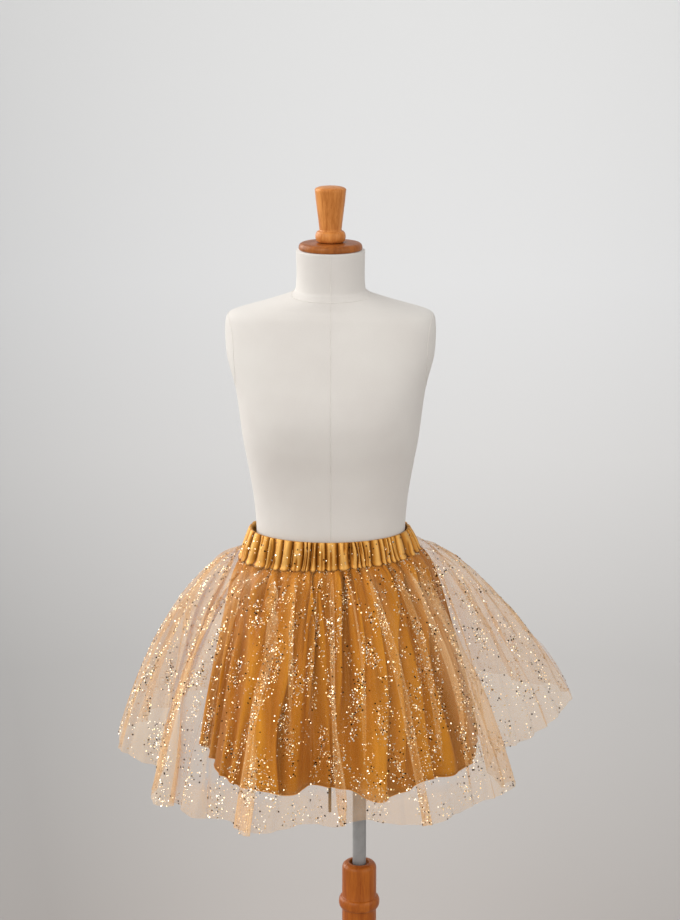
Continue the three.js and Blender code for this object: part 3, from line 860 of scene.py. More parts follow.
# %% Overskirt of glitter tulle
front_tulle, front_grid = cloth_panel(
    "tulle_front_net", tulle, front_folds, 0, tulle["front_rows"],
    columns=900, rows=94, seed=11, ripple=2.6, valleys=50, valley_depth=2.3)
back_tulle, back_grid = cloth_panel(
    "tulle_back_net", tulle, back_folds, tulle["front_rows"], len(tulle["hem"]),
    columns=760, rows=84, seed=12, ripple=2.6, valleys=50, valley_depth=2.3)
dress(front_tulle, tulle_material, "glitter_tulle", "tulle_front")
dress(back_tulle, tulle_material, "glitter_tulle", "tulle_back")

# %% [markdown]
# Glitter is sprayed on in clouds, so it lies thick here and thin there. A sum of slow waves in random
# directions gives that patchiness. The flakes lie half a millimetre off the net.

# %% Glitter on the overskirt
flake_lift = 0.5 * MM
# Share of the net's flakes painted near black, as painted reflection.
tulle_painted_dark_share = 0.08


def patchiness(grid, seed):
    """Slow random thickness of the glitter over a panel, round 1."""
    rng = np.random.default_rng(seed)
    columns, rows = grid.shape[:2]
    across = np.linspace(0, 1, columns)[:, None]
    down = np.linspace(0, 1, rows)[None, :]
    value = np.ones((columns, rows))
    for _ in range(14):
        turns = rng.uniform(5, 34) * rng.choice([-1, 1])
        drops = rng.uniform(1, 6)
        value += 0.26 * np.sin(2 * math.pi * (turns * across + drops * down) + rng.uniform(0, 7))
    return np.clip(value, 0.15, 2.6) ** 2


front_flakes = scatter_flakes(
    "tulle_front_glitter", front_grid, count=20000, seed=21, lift=flake_lift, painted_dark_share=tulle_painted_dark_share,
    thick_where=patchiness(front_grid, 31))
back_flakes = scatter_flakes(
    "tulle_back_glitter", back_grid, count=13000, seed=22, lift=flake_lift, painted_dark_share=tulle_painted_dark_share,
    thick_where=patchiness(back_grid, 32))

# %% [markdown]
# Stitches and hems are small, but they show from a step away. A stitch is a short rounded bar, copied along a
# path with its length on the path and its top on the cloth's normal. A turned hem reads as a thin round edge,
# so it is a tube along the last row of the cloth.

# %% Stitches and hem tubes
stitch_template = [(x, y, z) for x in (-0.35, 0.35) for y, z in ((1, 0), (0, 1), (-1, 0), (0, -1))]
stitch_template = [(-0.5, 0, 0)] + stitch_template + [(0.5, 0, 0)]
stitch_triangles = []
for corner in range(4):
    following = (corner + 1) % 4
    stitch_triangles += [
        (0, 1 + following, 1 + corner),
        (1 + corner, 1 + following, 5 + following),
        (1 + corner, 5 + following, 5 + corner),
        (9, 5 + corner, 5 + following),
    ]


def full_turn(count):
    return np.linspace(0, 2 * math.pi, count, endpoint=False)


def stitch_row(name, path, normals, spacing, length, radius, lift):
    """A row of stitches along a path of points in metres, with the cloth's normals."""
    lengths = lengths_along(path)
    places = np.arange(spacing / 2, lengths[-1], spacing)
    centre, ahead, normal = (
        np.stack([np.interp(at, lengths, rows[:, axis]) for axis in range(3)], 1)
        for at, rows in ((places, path), (places + spacing / 4, path), (places, normals))
    )
    normal = unit(normal)
    tangent = unit(ahead - centre)
    frames = np.stack([tangent, unit(np.cross(normal, tangent)), normal], 1)
    scales = np.tile([length, radius, radius], (len(places), 1))
    return joined_copies(name, stitch_template, stitch_triangles, centre + lift * normal, frames, scales)


def tube_along(name, path, radius, sides=8, closed=False):
    """Round tube along a path of points in metres, open at its ends."""
    tangent = unit(np.gradient(path, axis=0))
    if closed:
        tangent = unit(np.roll(path, -1, 0) - np.roll(path, 1, 0))
    side = unit(np.cross(tangent, [0.02, 0.03, 1.0]))
    up = np.cross(side, tangent)
    angles = full_turn(sides)[None, :, None]
    points = path[:, None, :] + radius * (np.cos(angles) * side[:, None] + np.sin(angles) * up[:, None])
    return mesh_object(name, points, grid_faces(len(path), sides, ring=closed, tube=True))


print("a stitch has", len(stitch_triangles), "triangles")

# %% [markdown]
# The underskirt is two panels of satin, narrower and a little shorter, with soft deep folds. Satin is heavier
# than net, so its folds are wider and don't lie over themselves. A Solidify modifier gives the cloth its
# thickness. The hem is turned up and held by one row of stitches.

# %% Underskirt of gold satin
satin_front_folds = [
    (-88, -92, 13, 5, 0.9, 0.10, 1.3), (-71, -84, 12, 5.5, 1.0, 0.05, 1.3), (-55, -72, 13, 5, 1.1, 0.05, 1.1),
    (-43, -58, 12, 5.5, 0.9, 0.10, 1.3), (-30, -44, 14, 6, 1.1, 0.05, 1.0), (-19, -28, 10, 5, 1.1, 0.05, 1.3),
    (-10, -14, 9, 5.5, 0.9, 0.02, 0.8), (-2, -4, 10, 4, 1.0, 0.05, 1.3), (6, 8, 10, 5.5, 1.0, 0.02, 0.9),
    (16, 20, 9, 4, 1.0, 0.05, 0.8), (25, 32, 13, 5.5, 1.1, 0.05, 1.3), (35, 48, 11, 6, 1.0, 0.02, 1.0),
    (46, 60, 12, 5, 1.1, 0.10, 1.3), (56, 70, 12, 6, 1.0, 0.02, 1.1), (71, 80, 12, 4.5, 1.0, 0.10, 1.3),
]
satin_back_folds = [
    (100, 96, 12, 4.5, 1.0, 0.10, 1.3), (116, 104, 13, 5.5, 1.0, 0.05, 1.0),
    (131, 116, 11, 5, 1.1, 0.05, 1.3), (147, 136, 12, 6, 1.0, 0.05, 1.1), (163, 156, 11, 5, 1.1, 0.10, 1.3),
    (180, 180, 13, 5.5, 1.0, 0.05, 0.9), (196, 204, 11, 5, 1.1, 0.05, 1.3), (212, 224, 12, 6, 1.0, 0.10, 1.1),
    (228, 242, 11, 5, 1.1, 0.05, 1.3), (244, 254, 12, 4.5, 1.0, 0.10, 1.3),
]
satin_rows = 64
stitched_row = satin_rows - 3


def satin_panel(name, folds, start_row, end_row, columns, seed, node):
    """A satin panel with its turned hem and its row of stitches. Returns the panel's grid."""
    panel, grid = cloth_panel(
        name, satin, folds, start_row, end_row, columns, satin_rows, seed,
        ripple=1.8, valleys=36, valley_depth=8.0)
    thickness = panel.modifiers.new("cloth_thickness", "SOLIDIFY")
    thickness.thickness = 0.8 * MM
    thickness.offset = -1
    dress(panel, skirt_satin, "gold_satin", node)
    normals = unit(np.cross(grid[1:, 1:] - grid[1:, :-1], grid[1:, 1:] - grid[:-1, 1:]))
    hem = dress(tube_along(name + "_hem", grid[1:, -1], 0.7 * MM), skirt_satin, "gold_satin")
    stitches = stitch_row(
        name + "_stitches", grid[1:, stitched_row], normals[:, stitched_row - 1],
        spacing=3.6 * MM, length=2.6 * MM, radius=0.3 * MM, lift=0.25 * MM)
    dress(stitches, gold_thread, "gold_satin")
    return grid


satin_front_grid = satin_panel(
    "satin_front_cloth", satin_front_folds, 0, satin["front_rows"],
    columns=380, seed=41, node="satin_front")
satin_back_grid = satin_panel(
    "satin_back_cloth", satin_back_folds, satin["front_rows"], len(satin["hem"]),
    columns=320, seed=42, node="satin_back")

# %% [markdown]
# How free the net hangs is measured, by the distance from each of its points to the nearest point of the
# satin. It is free at the two sides, where the skirt stands out widest, and below the satin's hem. Each pair
# of limits says where the net starts to be free and where it is quite free.

# %% Where the net hangs free
satin_points = np.concatenate([satin_front_grid.reshape(-1, 3), satin_back_grid.reshape(-1, 3)])
satin_finder = kdtree.KDTree(len(satin_points))
for number, point in enumerate(satin_points):
    satin_finder.insert(point, number)
satin_finder.balance()
satin_hem = np.concatenate([satin_front_grid[:, -1], satin_back_grid[:, -1]]) - skirt_axis * MM
hem_bearings = np.arctan2(satin_hem[:, 0], -satin_hem[:, 1])
side_limits = (0.58, 0.80)  # sine of the bearing
gap_limits = (4 * MM, 30 * MM)
below_limits = (-52 * MM, -30 * MM)  # seen from above, the satin's hem covers the net that is just above it
free_below_hem = 0.75


def hangs_free(net, grid, hem_thinning):
    """Gives the net its apart attribute: 0 over the satin, 1 in free air, and less towards a thinned hem."""
    gaps = np.array([satin_finder.find(point)[2] for point in grid.reshape(-1, 3)]).reshape(grid.shape[:2])
    points = grid - skirt_axis * MM
    bearings = np.arctan2(points[..., 0], -points[..., 1])
    below_hem = np.interp(bearings, hem_bearings, satin_hem[:, 2], period=2 * math.pi) - points[..., 2]
    at_side = smoothstep(np.abs(np.sin(bearings)), *side_limits) * smoothstep(gaps, *gap_limits)
    # Painted light: the net's material paints net where this value is high paler and denser.
    apart = np.maximum(at_side, free_below_hem * smoothstep(below_hem, *below_limits))
    apart *= 1 - hem_thinning * smoothstep(np.linspace(0, 1, grid.shape[1]), 0.6, 1)
    give_attribute(net, "apart", apart)
    middle = len(gaps) // 2
    print(net.name, "gaps to the satin in mm:", [round(float(gap) / MM) for gap in gaps[middle, ::20]])


hangs_free(front_tulle, front_grid, hem_thinning=0.0)
hangs_free(back_tulle, back_grid, hem_thinning=0.8)

# %% [markdown]
# The waistband is a casing of satin with elastic inside. The elastic pulls it into upright puffed ribs with
# deep creases between them, made dark by painted shade. No two ribs are alike: some are fat and some thin,
# they slant and lean, and most have a short crease of their own. The ribs end in round scallops that hang
# over the seam, with painted shade under them. The cross-section is one closed outline, swept round the
# waist.

# %% Ribs of the waistband
band_height = 39.0
band_upper_half_width = 125.0
band_upper_half_depth = 97.0
band_ribs = 54
band_columns = 1512
band_wall = 2.4
# Shares of the height, up the outside and down the inside. Those below 0 are the scallops over the seam.
scallop_shares = [-0.07, -0.06, -0.035, 0.0, 0.04]
edge_shares = [0.95, 0.98, 1.0]
outer_shares = np.concatenate([scallop_shares, np.linspace(0.09, 0.91, 15), edge_shares])
inner_shares = np.array([1.0, 0.75, 0.5, 0.25, 0.0])


def rib_places(bearing, share, rng):
    """Which rib each point is on: a whole number at a crease, and the share across the rib after it."""
    widths = rng.uniform(0.4, 1.5, band_ribs)
    starts = np.concatenate([[0], np.cumsum(widths / widths.sum())]) * 2 * math.pi - math.pi
    slants = rng.normal(0, 0.017, band_ribs)
    slants = np.append(slants, slants[0]) + 0.02 * np.sin(starts)
    bows = rng.normal(0, 0.010, band_ribs)
    bows = np.append(bows, bows[0])
    numbers = np.arange(band_ribs + 1.0)
    places = np.empty((len(bearing), len(share)))
    for column, height in enumerate(share):
        creases = starts + slants * (height - 0.5) + bows * math.sin(math.pi * max(0, height))
        creases = np.concatenate([[creases[-2] - 2 * math.pi], creases, [creases[1] + 2 * math.pi]])
        places[:, column] = np.interp(bearing, creases, np.concatenate([[-1.0], numbers, [band_ribs + 1.0]]))
    return places


print(band_ribs, "ribs, each", round(band_height), "mm tall")

# %% [markdown]
# Relief is how far a point of the casing is puffed out, less its rib's own crease. Crown lets it fade to the
# two edges, and scallop lets the ribs' lower ends hang over the seam.

# %% Gathered waistband
rib_puff = 6.2
rib_base = 1.2
scallop_reach = 1.8
own_width = 0.10  # of a rib
own_share = 0.8  # of the ribs


def band_surface():
    """The casing's closed cross-section round the waist, and its painted shade, darker the deeper a point
    lies between ribs.
    """
    rng = np.random.default_rng(54)
    bearing = np.linspace(-math.pi, math.pi, band_columns, endpoint=False)
    share = np.concatenate([outer_shares, inner_shares])
    places = rib_places(bearing, share, rng)
    bearing, share = bearing[:, None], share[None, :]
    is_outer = np.concatenate([np.ones(len(outer_shares)), np.zeros(len(inner_shares))])[None, :]
    rib = np.floor(places).astype(int) % band_ribs
    across = places - np.floor(places)

    lean = rng.uniform(0.7, 1.45, band_ribs)[rib]
    fullness = rng.uniform(0.75, 1.2, band_ribs)[rib]
    puffed = np.sin(math.pi * across**lean) ** 0.72
    own_place = rng.uniform(0.3, 0.7, band_ribs)[rib]
    own_reach = rng.uniform(0.35, 1.3, band_ribs)[rib]
    from_top = rng.random(band_ribs)[rib] < 0.5
    from_edge = np.where(from_top, 1 - share, share)
    own_crease = np.exp(-(((across - own_place) / own_width) ** 2))
    own_crease *= 1 - smoothstep(from_edge / own_reach, 0.4, 1.0)
    own_crease *= rng.random(band_ribs)[rib] < own_share
    relief = puffed - 0.5 * own_crease

    crown = np.clip(np.sin(math.pi * np.clip((share + 0.07) / 1.07, 0, 1)), 0, 1) ** 0.4
    rise = (rib_puff * fullness * (relief - 0.6) + rib_base) * (0.3 + 0.7 * crown) * is_outer
    half_width = lerp(waist_half_width, band_upper_half_width, share)
    half_depth = lerp(waist_half_depth, band_upper_half_depth, share)
    scallop = smoothstep(-share, -0.12, 0.03) * is_outer
    reach = ellipse_reach(half_width, half_depth, bearing) + rise + scallop_reach * scallop
    reach = reach - band_wall * (1 - is_outer)
    height = lerp(seam_height(bearing), band_height, share)
    upper_edge = np.where(share >= edge_shares[0], 1.5 * (puffed - 0.6), 0)
    height = height + scallop * (1.3 - 3.0 * puffed) + is_outer * upper_edge
    points = np.stack([reach * np.sin(bearing), -reach * np.cos(bearing), height], -1)
    # Painted shade in the creases between ribs and under the scallops; puffed crests get the painted
    # highlight.
    painted_hollow_shade = np.clip(1.05 - 1.1 * relief, 0, 1) * is_outer + 0.5 * scallop * (share < -0.03)
    return to_row_frame(points), bearing + 0 * share, share + 0 * bearing, np.clip(painted_hollow_shade, 0, 1)


band_grid, band_bearing, band_share, band_painted_shade = band_surface()
band_uvs = np.stack([band_bearing * 0.2, band_share * 0.04], -1)
band_faces = grid_faces(*band_grid.shape[:2], ring=True, tube=True)[:, ::-1]
waistband = mesh_object("waistband_casing", band_grid, band_faces, band_uvs)
give_attribute(waistband, "painted_hollow_shade", band_painted_shade)
dress(waistband, band_satin, "gold_satin", "waistband")
puffed_rows = slice(len(scallop_shares), len(outer_shares) - len(edge_shares))
band_flakes = scatter_flakes(
    "waistband_glitter", band_grid[:, puffed_rows][:, ::-1],
    count=520, seed=23, lift=0.4 * MM, painted_dark_share=0.15)

# %% [markdown]
# The form is a torso with no limbs, padded smooth and covered in ivory linen. Linen is a matt plain weave
# with slightly uneven threads, so a noise shades and lifts the weave.

# %% Linen
linen, tree, shader = new_material("ivory_linen")
linen_tone = toned(tree, (0.70, 0.668, 0.628), (0.66, 0.622, 0.585), 9.0)
linen_weave = use_group(tree, woven_threads, {"Warp per metre": 1300.0, "Weft per metre": 1300.0})
slub = noise(tree, cloth_place(tree), 700.0, 3.0)
thread_shade = remap(tree, slub, 0.0, 1.0, 0.93, 1.0)
thread_colour = join(tree, thread_shade, thread_shade, thread_shade)
feed(tree, shader, {
    "Base Color": mix_colours(tree, 1.0, linen_tone["Colour"], thread_colour, "MULTIPLY"),
    "Roughness": remap(tree, linen_tone["Mask"], 0.0, 1.0, 0.95, 0.85),
    "Normal": bumped(tree, plus(tree, times(tree, linen_weave["Height"], 0.6), slub), 0.25),
    "Specular IOR Level": 0.2,
    "Sheen Weight": 0.1,
})
print("linen has 13 threads a centimetre")

# %% [markdown]
# The torso is one closed surface through a table of superellipse sections: a rounded box at the chest, an
# ellipse at the waist and a round neck. A table is easier to shape than a sculpted mesh, and it is the CAD
# model's own. Each end is closed by a fan of quads.

# %% Form
form_axis = np.array([-22.0, 5.0, waist_height])
# height from the waist seam, half width, half depth in front, half depth behind, superellipse exponent
form_sections = np.array([
    (-250, 148, 104, 108, 2.2), (-200, 151, 108, 114, 2.2), (-140, 146, 106, 112, 2.2),
    (-90, 136, 100, 103, 2.2), (-40, 124, 92, 91, 2.2), (0, 118, 88, 84, 2.2), (40, 117, 88, 82, 2.2),
    (90, 121, 94, 84, 2.2), (140, 129, 104, 88, 2.25), (185, 137, 117, 92, 2.3), (225, 142, 124, 95, 2.3),
    (262, 147, 118, 97, 2.35), (287, 153, 109, 97, 2.4), (314, 160, 99, 95, 2.4), (340, 162.5, 88, 91, 2.4),
    (362, 162.5, 78, 83, 2.4), (377, 160, 71, 77, 2.3), (385, 150, 66, 71, 2.2), (393, 124, 61, 66, 2.1),
    (402, 92, 58, 61, 2.0), (413, 60, 55, 56, 2.0), (426, 53, 53, 53, 2.0), (478, 53, 53, 53, 2.0),
], float)


def fan_quads(edge, centre, turned_over):
    """Closes a ring of point numbers with quads that meet at the centre point."""
    pairs = np.arange(0, len(edge), 2)
    corners = [edge[(pairs + step) % len(edge)] for step in (0, 1, 2)] + [np.full(len(pairs), centre)]
    quads = np.stack(corners, 1)
    return quads[:, ::-1] if turned_over else quads


def section_at(places):
    """Sections between the rows of the table, by a smooth curve through them."""
    places = np.asarray(places, float)
    last = len(form_sections) - 1
    index = np.clip(np.floor(places).astype(int), 0, last - 1)
    step = (places - index)[..., None]
    before = form_sections[np.maximum(index - 1, 0)]
    here = form_sections[index]
    after = form_sections[index + 1]
    beyond = form_sections[np.minimum(index + 2, last)]
    return cubic(here, after, (after - before) / 2, (beyond - here) / 2, step)


def form_point(place, angle):
    """Point of the form in metres, from a place in the table and an angle from +X."""
    height, half_width, front, back, exponent = np.moveaxis(section_at(place), -1, 0)
    cosine, sine = np.cos(angle), np.sin(angle)
    x = half_width * np.sign(cosine) * np.abs(cosine) ** (2 / exponent)
    y = np.where(sine < 0, front, back) * np.sign(sine) * np.abs(sine) ** (2 / exponent)
    return (np.stack(np.broadcast_arrays(x, y, height), -1) + form_axis) * MM


form_sides = 160
body_places = np.linspace(0, 16, 97)
shoulder_places = np.linspace(16.05, 22, 90)  # closer together, as the shoulders and neck turn sharply
form_angles = full_turn(form_sides)
form_grid = form_point(np.concatenate([body_places, shoulder_places])[None, :], form_angles[:, None])
form_rows = form_grid.shape[1]
form_uvs = np.stack(np.broadcast_arrays(form_angles[:, None] * 0.13, form_grid[:1, :, 2]), -1)
end_points = np.array([[form_axis[0] * MM, form_axis[1] * MM, form_grid[0, row, 2]] for row in (0, -1)])
end_uvs = np.array([[0, point[2]] for point in end_points])
bottom_edge = np.arange(form_sides) * form_rows
form_faces = np.concatenate([
    grid_faces(form_sides, form_rows, ring=True)[:, ::-1],
    fan_quads(bottom_edge, form_sides * form_rows, True),
    fan_quads(bottom_edge + form_rows - 1, form_sides * form_rows + 1, False),
])
torso = mesh_object(
    "form_linen",
    np.concatenate([form_grid.reshape(-1, 3), end_points]),
    form_faces,
    np.concatenate([form_uvs.reshape(-1, 2), end_uvs]),
)
dress(torso, linen, "ivory_linen", "form")

# %% [markdown]
# The cover of a form is sewn from panels. The seams show as thin ridges: one down the middle of the front,
# one down the back, one round the foot of the neck and one round each armhole. Each ridge is a tube half sunk
# in the cover, because a bump would need a drawn line to follow.

# %% Seams of the form's cover


def seam(name, path, closed=False):
    return dress(tube_along(name, path, 0.55 * MM, 6, closed), linen_thread, "ivory_linen")


linen_thread, tree, shader = new_material("linen_seam")
seam_tone = toned(tree, (0.72, 0.685, 0.64), (0.62, 0.58, 0.54), 60.0)
feed(tree, shader, {"Base Color": seam_tone["Colour"], "Roughness": 0.9})

# Places are rows of the form's table, from 0 at the bottom to 22 at the top of the neck.
seam_places = np.linspace(0.2, 21.9, 260)
for label, angle in (("front", -math.pi / 2), ("back", math.pi / 2)):
    seam("form_seam_" + label, form_point(seam_places, np.full(len(seam_places), angle)))
neck_angles = full_turn(120)
seam("form_seam_neck", form_point(20.1 + 0.75 * np.sin(neck_angles), neck_angles), closed=True)
armhole_turns = full_turn(90)
armhole_places = 13.8 + 2.55 * np.cos(armhole_turns)
for label, middle, reach in (("left", math.pi, -0.45), ("right", 0.0, 0.45)):
    armhole_angles = middle + reach * np.sin(armhole_turns)
    seam("form_seam_armhole_" + label, form_point(armhole_places, armhole_angles), closed=True)

# %% [markdown]
# The neck cap, the column and the legs are turned and bent wood. Wood grain is noise stretched along the
# turning axis: broad bands of early and late wood, and fine pores between them.

# %% Wood grain
wood_grain, entry, leave = new_group(
    "wood_grain",
    [("Light", COLOUR, (1, 1, 1, 1)), ("Dark", COLOUR, (0, 0, 0, 1)), ("Stretch", NUMBER, 8.0)],
    [("Colour", COLOUR), ("Height", NUMBER), ("Mask", NUMBER)],
)
wood_axes = split(wood_grain, object_place(wood_grain))
along_grain = calculate(wood_grain, "DIVIDE", wood_axes[2], entry["Stretch"])
grain_place = join(wood_grain, wood_axes[0], wood_axes[1], along_grain)
broad_grain = noise(wood_grain, grain_place, 60.0, 5.0, 0.6, 0.6)
fine_grain = noise(wood_grain, grain_place, 420.0, 3.0, 0.7)
both_grains = plus(wood_grain, times(wood_grain, broad_grain, 0.65), times(wood_grain, fine_grain, 0.35))
grain_mask = remap(wood_grain, both_grains, 0.36, 0.62)
wood_grain.links.new(mix_colours(wood_grain, grain_mask, entry["Dark"], entry["Light"]), leave["Colour"])
wood_grain.links.new(fine_grain, leave["Height"])
wood_grain.links.new(grain_mask, leave["Mask"])
print(wood_grain.name, "has", len(wood_grain.nodes), "nodes")

# %% [markdown]
# The wood is stained orange brown and lacquered. Lacquer is a clear coat over the grain, so the highlight is
# sharp although the wood under it is rough.

# %% Lacquered wood


def wood_material(name, light, dark):
    material, tree, shader = new_material(name)
    grain = use_group(tree, wood_grain, {"Light": (*light, 1), "Dark": (*dark, 1), "Stretch": 9.0})
    feed(tree, shader, {
        "Base Color": grain["Colour"],
        "Roughness": remap(tree, grain["Mask"], 0.0, 1.0, 0.42, 0.32),
        "Normal": bumped(tree, grain["Height"], 0.08),
        "Specular IOR Level": 0.3,
        "Specular Tint": (1.0, 0.75, 0.5, 1),
        "Coat Weight": 0.08,
        "Coat Roughness": 0.15,
    })
    return material


cap_wood = wood_material("cap_wood", (0.70, 0.28, 0.07), (0.42, 0.13, 0.022))
disc_wood = wood_material("disc_wood", (0.37, 0.115, 0.022), (0.22, 0.057, 0.009))
stand_wood = wood_material("stand_wood", (0.44, 0.125, 0.015), (0.25, 0.05, 0.005))
print("woods:", cap_wood.name, disc_wood.name, stand_wood.name)

# %% [markdown]
# A turned piece is a profile swept round its axis, as on a lathe. The profile is a row of radii and heights,
# with Bezier curves where the turner's gouge leaves a hollow or a bead. A Screw modifier could sweep it too,
# but the grid helper is here already, and a fan of quads closes each end.

# %% Neck cap


def bezier(*points, count):
    """Points of a Bezier curve, without its first one."""
    steps = np.linspace(0, 1, count + 1)[1:, None]
    level = [np.array([point], float) for point in points]
    while len(level) > 1:
        level = [lerp(start, end, steps) for start, end in zip(level, level[1:])]
    return level[0]


def turned_piece(name, profile, axis, height, sides=72):
    """Lathe piece: profile rows are (radius, height) in millimetres, from the axis to the axis."""
    profile = np.array(profile, float)
    angles = full_turn(sides)
    ring = profile[1:-1]
    x = np.cos(angles)[:, None] * ring[None, :, 0] + axis[0]
    y = np.sin(angles)[:, None] * ring[None, :, 0] + axis[1]
    z = np.broadcast_to(ring[None, :, 1] + height, x.shape)
    points = np.stack([x, y, z], -1).reshape(-1, 3)
    ends = np.array([[axis[0], axis[1], profile[row, 1] + height] for row in (0, -1)])
    rows = len(ring)
    lower_edge = np.arange(sides) * rows
    faces = np.concatenate([
        grid_faces(sides, rows, ring=True)[:, ::-1],
        fan_quads(lower_edge, len(points), True),
        fan_quads(lower_edge + rows - 1, len(points) + 1, False),
    ])
    return mesh_object(name, np.concatenate([points, ends]) * MM, faces)


disc_thickness = 11.5
cap_height = waist_height + form_sections[-1, 0] + seam_gap
disc_profile = np.concatenate([
    [(0, 0), (20, 0), (45.5, 0)],
    bezier((45.5, 0), (49, 0), (49, 3.5), count=8),
    bezier((49, 3.5), (49, disc_thickness), (40.25, disc_thickness), count=10),
    [(20, disc_thickness), (0, disc_thickness)],
])
disc = turned_piece("cap_disc_turned", disc_profile, form_axis, cap_height)
dress(disc, disc_wood, "turned_wood", "cap_disc")
finial_profile = np.concatenate([
    [(0, 0), (8, 0), (17, 0)],
    bezier((17, 0), (25.5, 0), (25.5, 18), (17, 18), count=16),
    bezier((17, 18), (18.5, 36), (22.5, 60), (24, 81), count=20),
    bezier((24, 81), (22, 86), (0, 86), count=10),
])
finial = turned_piece("cap_finial_turned", finial_profile, form_axis, cap_height + disc_thickness + seam_gap)
dress(finial, cap_wood, "turned_wood", "cap_finial")

# %% [markdown]
# Steel that is brushed and then handled has an uneven gloss. Fine scuffs is noise stretched along the bar,
# which gives the roughness and a slight relief.

# %% Brushed steel
fine_scuffs, entry, leave = new_group(
    "fine_scuffs",
    [("Smooth", NUMBER, 0.3), ("Rough", NUMBER, 0.5), ("Stretch", NUMBER, 12.0)],
    [("Roughness", NUMBER), ("Height", NUMBER)],
)
metal_axes = split(fine_scuffs, object_place(fine_scuffs))
along_metal = calculate(fine_scuffs, "DIVIDE", metal_axes[2], entry["Stretch"])
metal_place = join(fine_scuffs, metal_axes[0], metal_axes[1], along_metal)
scuff_noise = noise(fine_scuffs, metal_place, 500.0, 4.0, 0.6)
scuff_roughness = remap(fine_scuffs, scuff_noise, 0.3, 0.7, entry["Smooth"], entry["Rough"])
fine_scuffs.links.new(scuff_roughness, leave["Roughness"])
fine_scuffs.links.new(scuff_noise, leave["Height"])

steel, tree, shader = new_material("grey_steel")
scuffs = use_group(tree, fine_scuffs, {"Smooth": 0.38, "Rough": 0.55, "Stretch": 14.0})
steel_tone = toned(tree, (0.335, 0.33, 0.325), (0.255, 0.25, 0.245), 40.0)
feed(tree, shader, {
    "Base Color": steel_tone["Colour"],
    "Metallic": 0.1,
    "Roughness": scuffs["Roughness"],
    "Normal": bumped(tree, scuffs["Height"], 0.05, 0.0002),
})

dark_metal, tree, shader = new_material("dark_steel")
scuffs = use_group(tree, fine_scuffs, {"Smooth": 0.4, "Rough": 0.6, "Stretch": 10.0})
dark_tone = toned(tree, (0.12, 0.085, 0.06), (0.06, 0.04, 0.028), 60.0)
feed(tree, shader, {"Base Color": dark_tone["Colour"], "Metallic": 0.5, "Roughness": scuffs["Roughness"]})
print("steels:", steel.name, dark_metal.name)

# %% [markdown]
# The grey pole rises out of a socket in the wooden column and carries the form, and a thin dark rod hangs
# from the form's bottom plate. Both are plain round bars, so they are turned pieces too.

# %% Pole and rod
pole_axis = np.array([24.0, 5.0, 0.0])
column_top = 471
socket_floor = 464
pole_bottom = socket_floor + seam_gap
pole_top = waist_height + form_sections[0, 0] - seam_gap
pole_profile = [
    (0, pole_bottom), (9, pole_bottom), (10.2, pole_bottom), (11, pole_bottom + 0.8), (11, pole_bottom + 20),
    (11, (pole_bottom + pole_top) / 2), (11, pole_top - 0.8), (10.2, pole_top), (9, pole_top), (0, pole_top),
]
pole = turned_piece("pole_tube", pole_profile, pole_axis, 0)
dress(pole, steel, "grey_steel", "pole")
rod_bottom = waist_height - 443
rod_profile = [
    (0, rod_bottom), (1.2, rod_bottom), (2.2, rod_bottom + 0.6), (2.5, rod_bottom + 1.6),
    (2.5, rod_bottom + 90), (2.5, pole_top - 0.5), (2.2, pole_top), (0, pole_top),
]
rod = turned_piece("hanging_rod_bar", rod_profile, skirt_axis, 0, sides=24)
dress(rod, dark_metal, "dark_steel", "hanging_rod")

# %% [markdown]
# The column is turned like the neck cap, with one bead ring near its top. Its own top is hollowed into a
# shallow socket, in which the pole stands.

# %% Column
column_profile = np.concatenate([
    [(0, 52), (8, 52)],
    bezier((8, 52), (17, 52), (17, 66), count=8),
    bezier((17, 66), (18, 72), (28, 74), count=8),
    [(28, 110), (28, 160), (28, 240), (28, 320), (28, 384), (28, 391), (28.4, 392)],
    bezier((28.4, 392), (35, 392), (35, 412), (28.4, 412), count=16),
    [(28, 413), (28, 436), (28, 460)],
    bezier((28, 460), (28, column_top), (17, column_top), count=10),
    [(16.4, 470.8), (16, 470), (16, 465), (15, socket_floor), (0, socket_floor)],
])
column = turned_piece("column_turned", column_profile, pole_axis, 0)
dress(column, stand_wood, "turned_wood", "column")

# %% [markdown]
# Three bent legs carry the column. A leg could be a curve with a bevel and a taper. Here it is a rounded bar
# swept between an upper and a lower curve instead, because then its inner end can follow the column's
# roundness and its foot can lie flat on the floor.

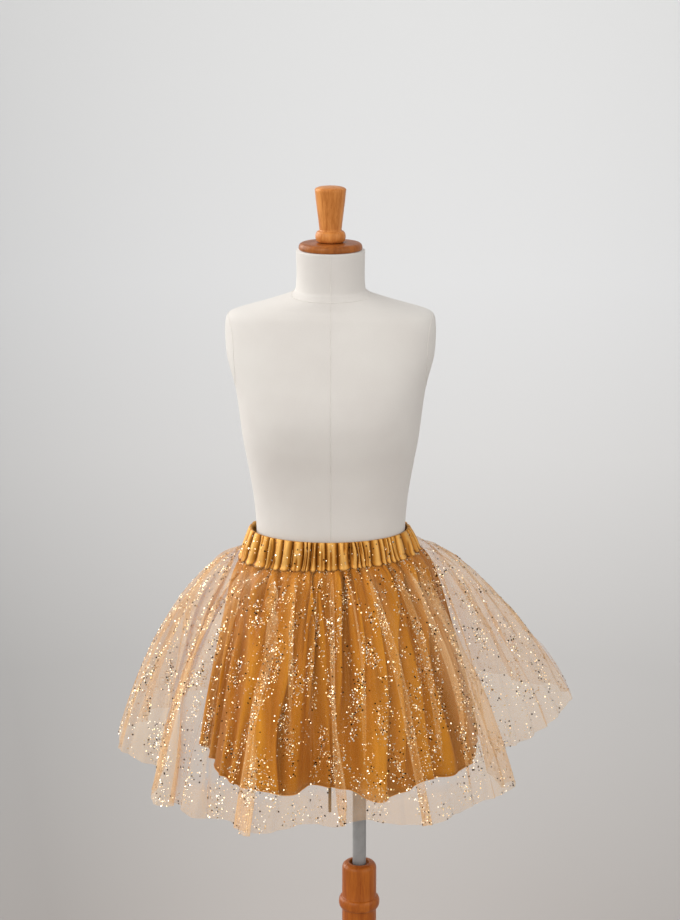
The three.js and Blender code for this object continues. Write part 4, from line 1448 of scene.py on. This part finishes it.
# %% Legs
leg_upper = np.concatenate([
    [(0, 152)], bezier((0, 152), (110, 148), (120, 62), (250, 36), count=40),
    bezier((250, 36), (285, 30), (285, 0), count=16)])
leg_lower = np.concatenate([
    [(0, 88)], bezier((0, 88), (96, 80), (115, 36), (213, 13), count=40),
    bezier((213, 13), (231, 8), (235, 0), count=16)])
leg_half_width = 17.0
leg_corner = 6.0
column_space = 28.3  # the column's radius and a seam's gap


def leg_section(half_height):
    """Rounded rectangle as (up, sideways) points in millimetres."""
    corner_angles = np.radians(np.arange(0, 91, 18))
    corner = min(leg_corner, half_height * 0.9)
    outline = []
    for turn, (up, side) in enumerate(((1, 1), (1, -1), (-1, -1), (-1, 1))):
        angles = corner_angles if turn % 2 == 0 else corner_angles[::-1]
        for angle in angles:
            outline.append((
                up * (half_height - corner + corner * math.sin(angle)),
                side * (leg_half_width - corner + corner * math.cos(angle)),
            ))
    return np.array(outline)


def leg_mesh(name, bearing):
    """A leg that leaves the column at a bearing from +X."""
    stations = []
    for upper, lower in zip(leg_upper, leg_lower):
        middle = (upper + lower) / 2
        half_height = np.linalg.norm(upper - lower) / 2
        up = (upper - lower) / (2 * half_height)
        outline = leg_section(half_height)
        sideways = outline[:, 1]
        outward = np.maximum(middle[0] + up[0] * outline[:, 0], np.sqrt(column_space**2 - sideways**2) + 0.1)
        stations.append(np.stack([outward, sideways, np.maximum(middle[1] + up[1] * outline[:, 0], 0)], 1))
    grid = np.array([station for station in stations if station[:, 0].max() > column_space + 1.5])
    cosine, sine = math.cos(bearing), math.sin(bearing)
    x, y, z = grid[..., 0], grid[..., 1], grid[..., 2]
    points = np.stack([x * cosine - y * sine + pole_axis[0], x * sine + y * cosine + pole_axis[1], z], -1)
    count, sides = grid.shape[:2]
    ends = [points[0].mean(0), points[-1].mean(0)]
    faces = np.concatenate([
        grid_faces(count, sides, tube=True),
        fan_quads(np.arange(sides), count * sides, False),
        fan_quads(np.arange(sides) + (count - 1) * sides, count * sides + 1, True),
    ])
    return mesh_object(name, np.concatenate([points.reshape(-1, 3), ends]) * MM, faces)


for number in range(3):
    leg = leg_mesh(f"leg_{number + 1}_bent", math.pi + 2 * math.pi * number / 3)
    dress(leg, stand_wood, "turned_wood", f"leg_{number + 1}")
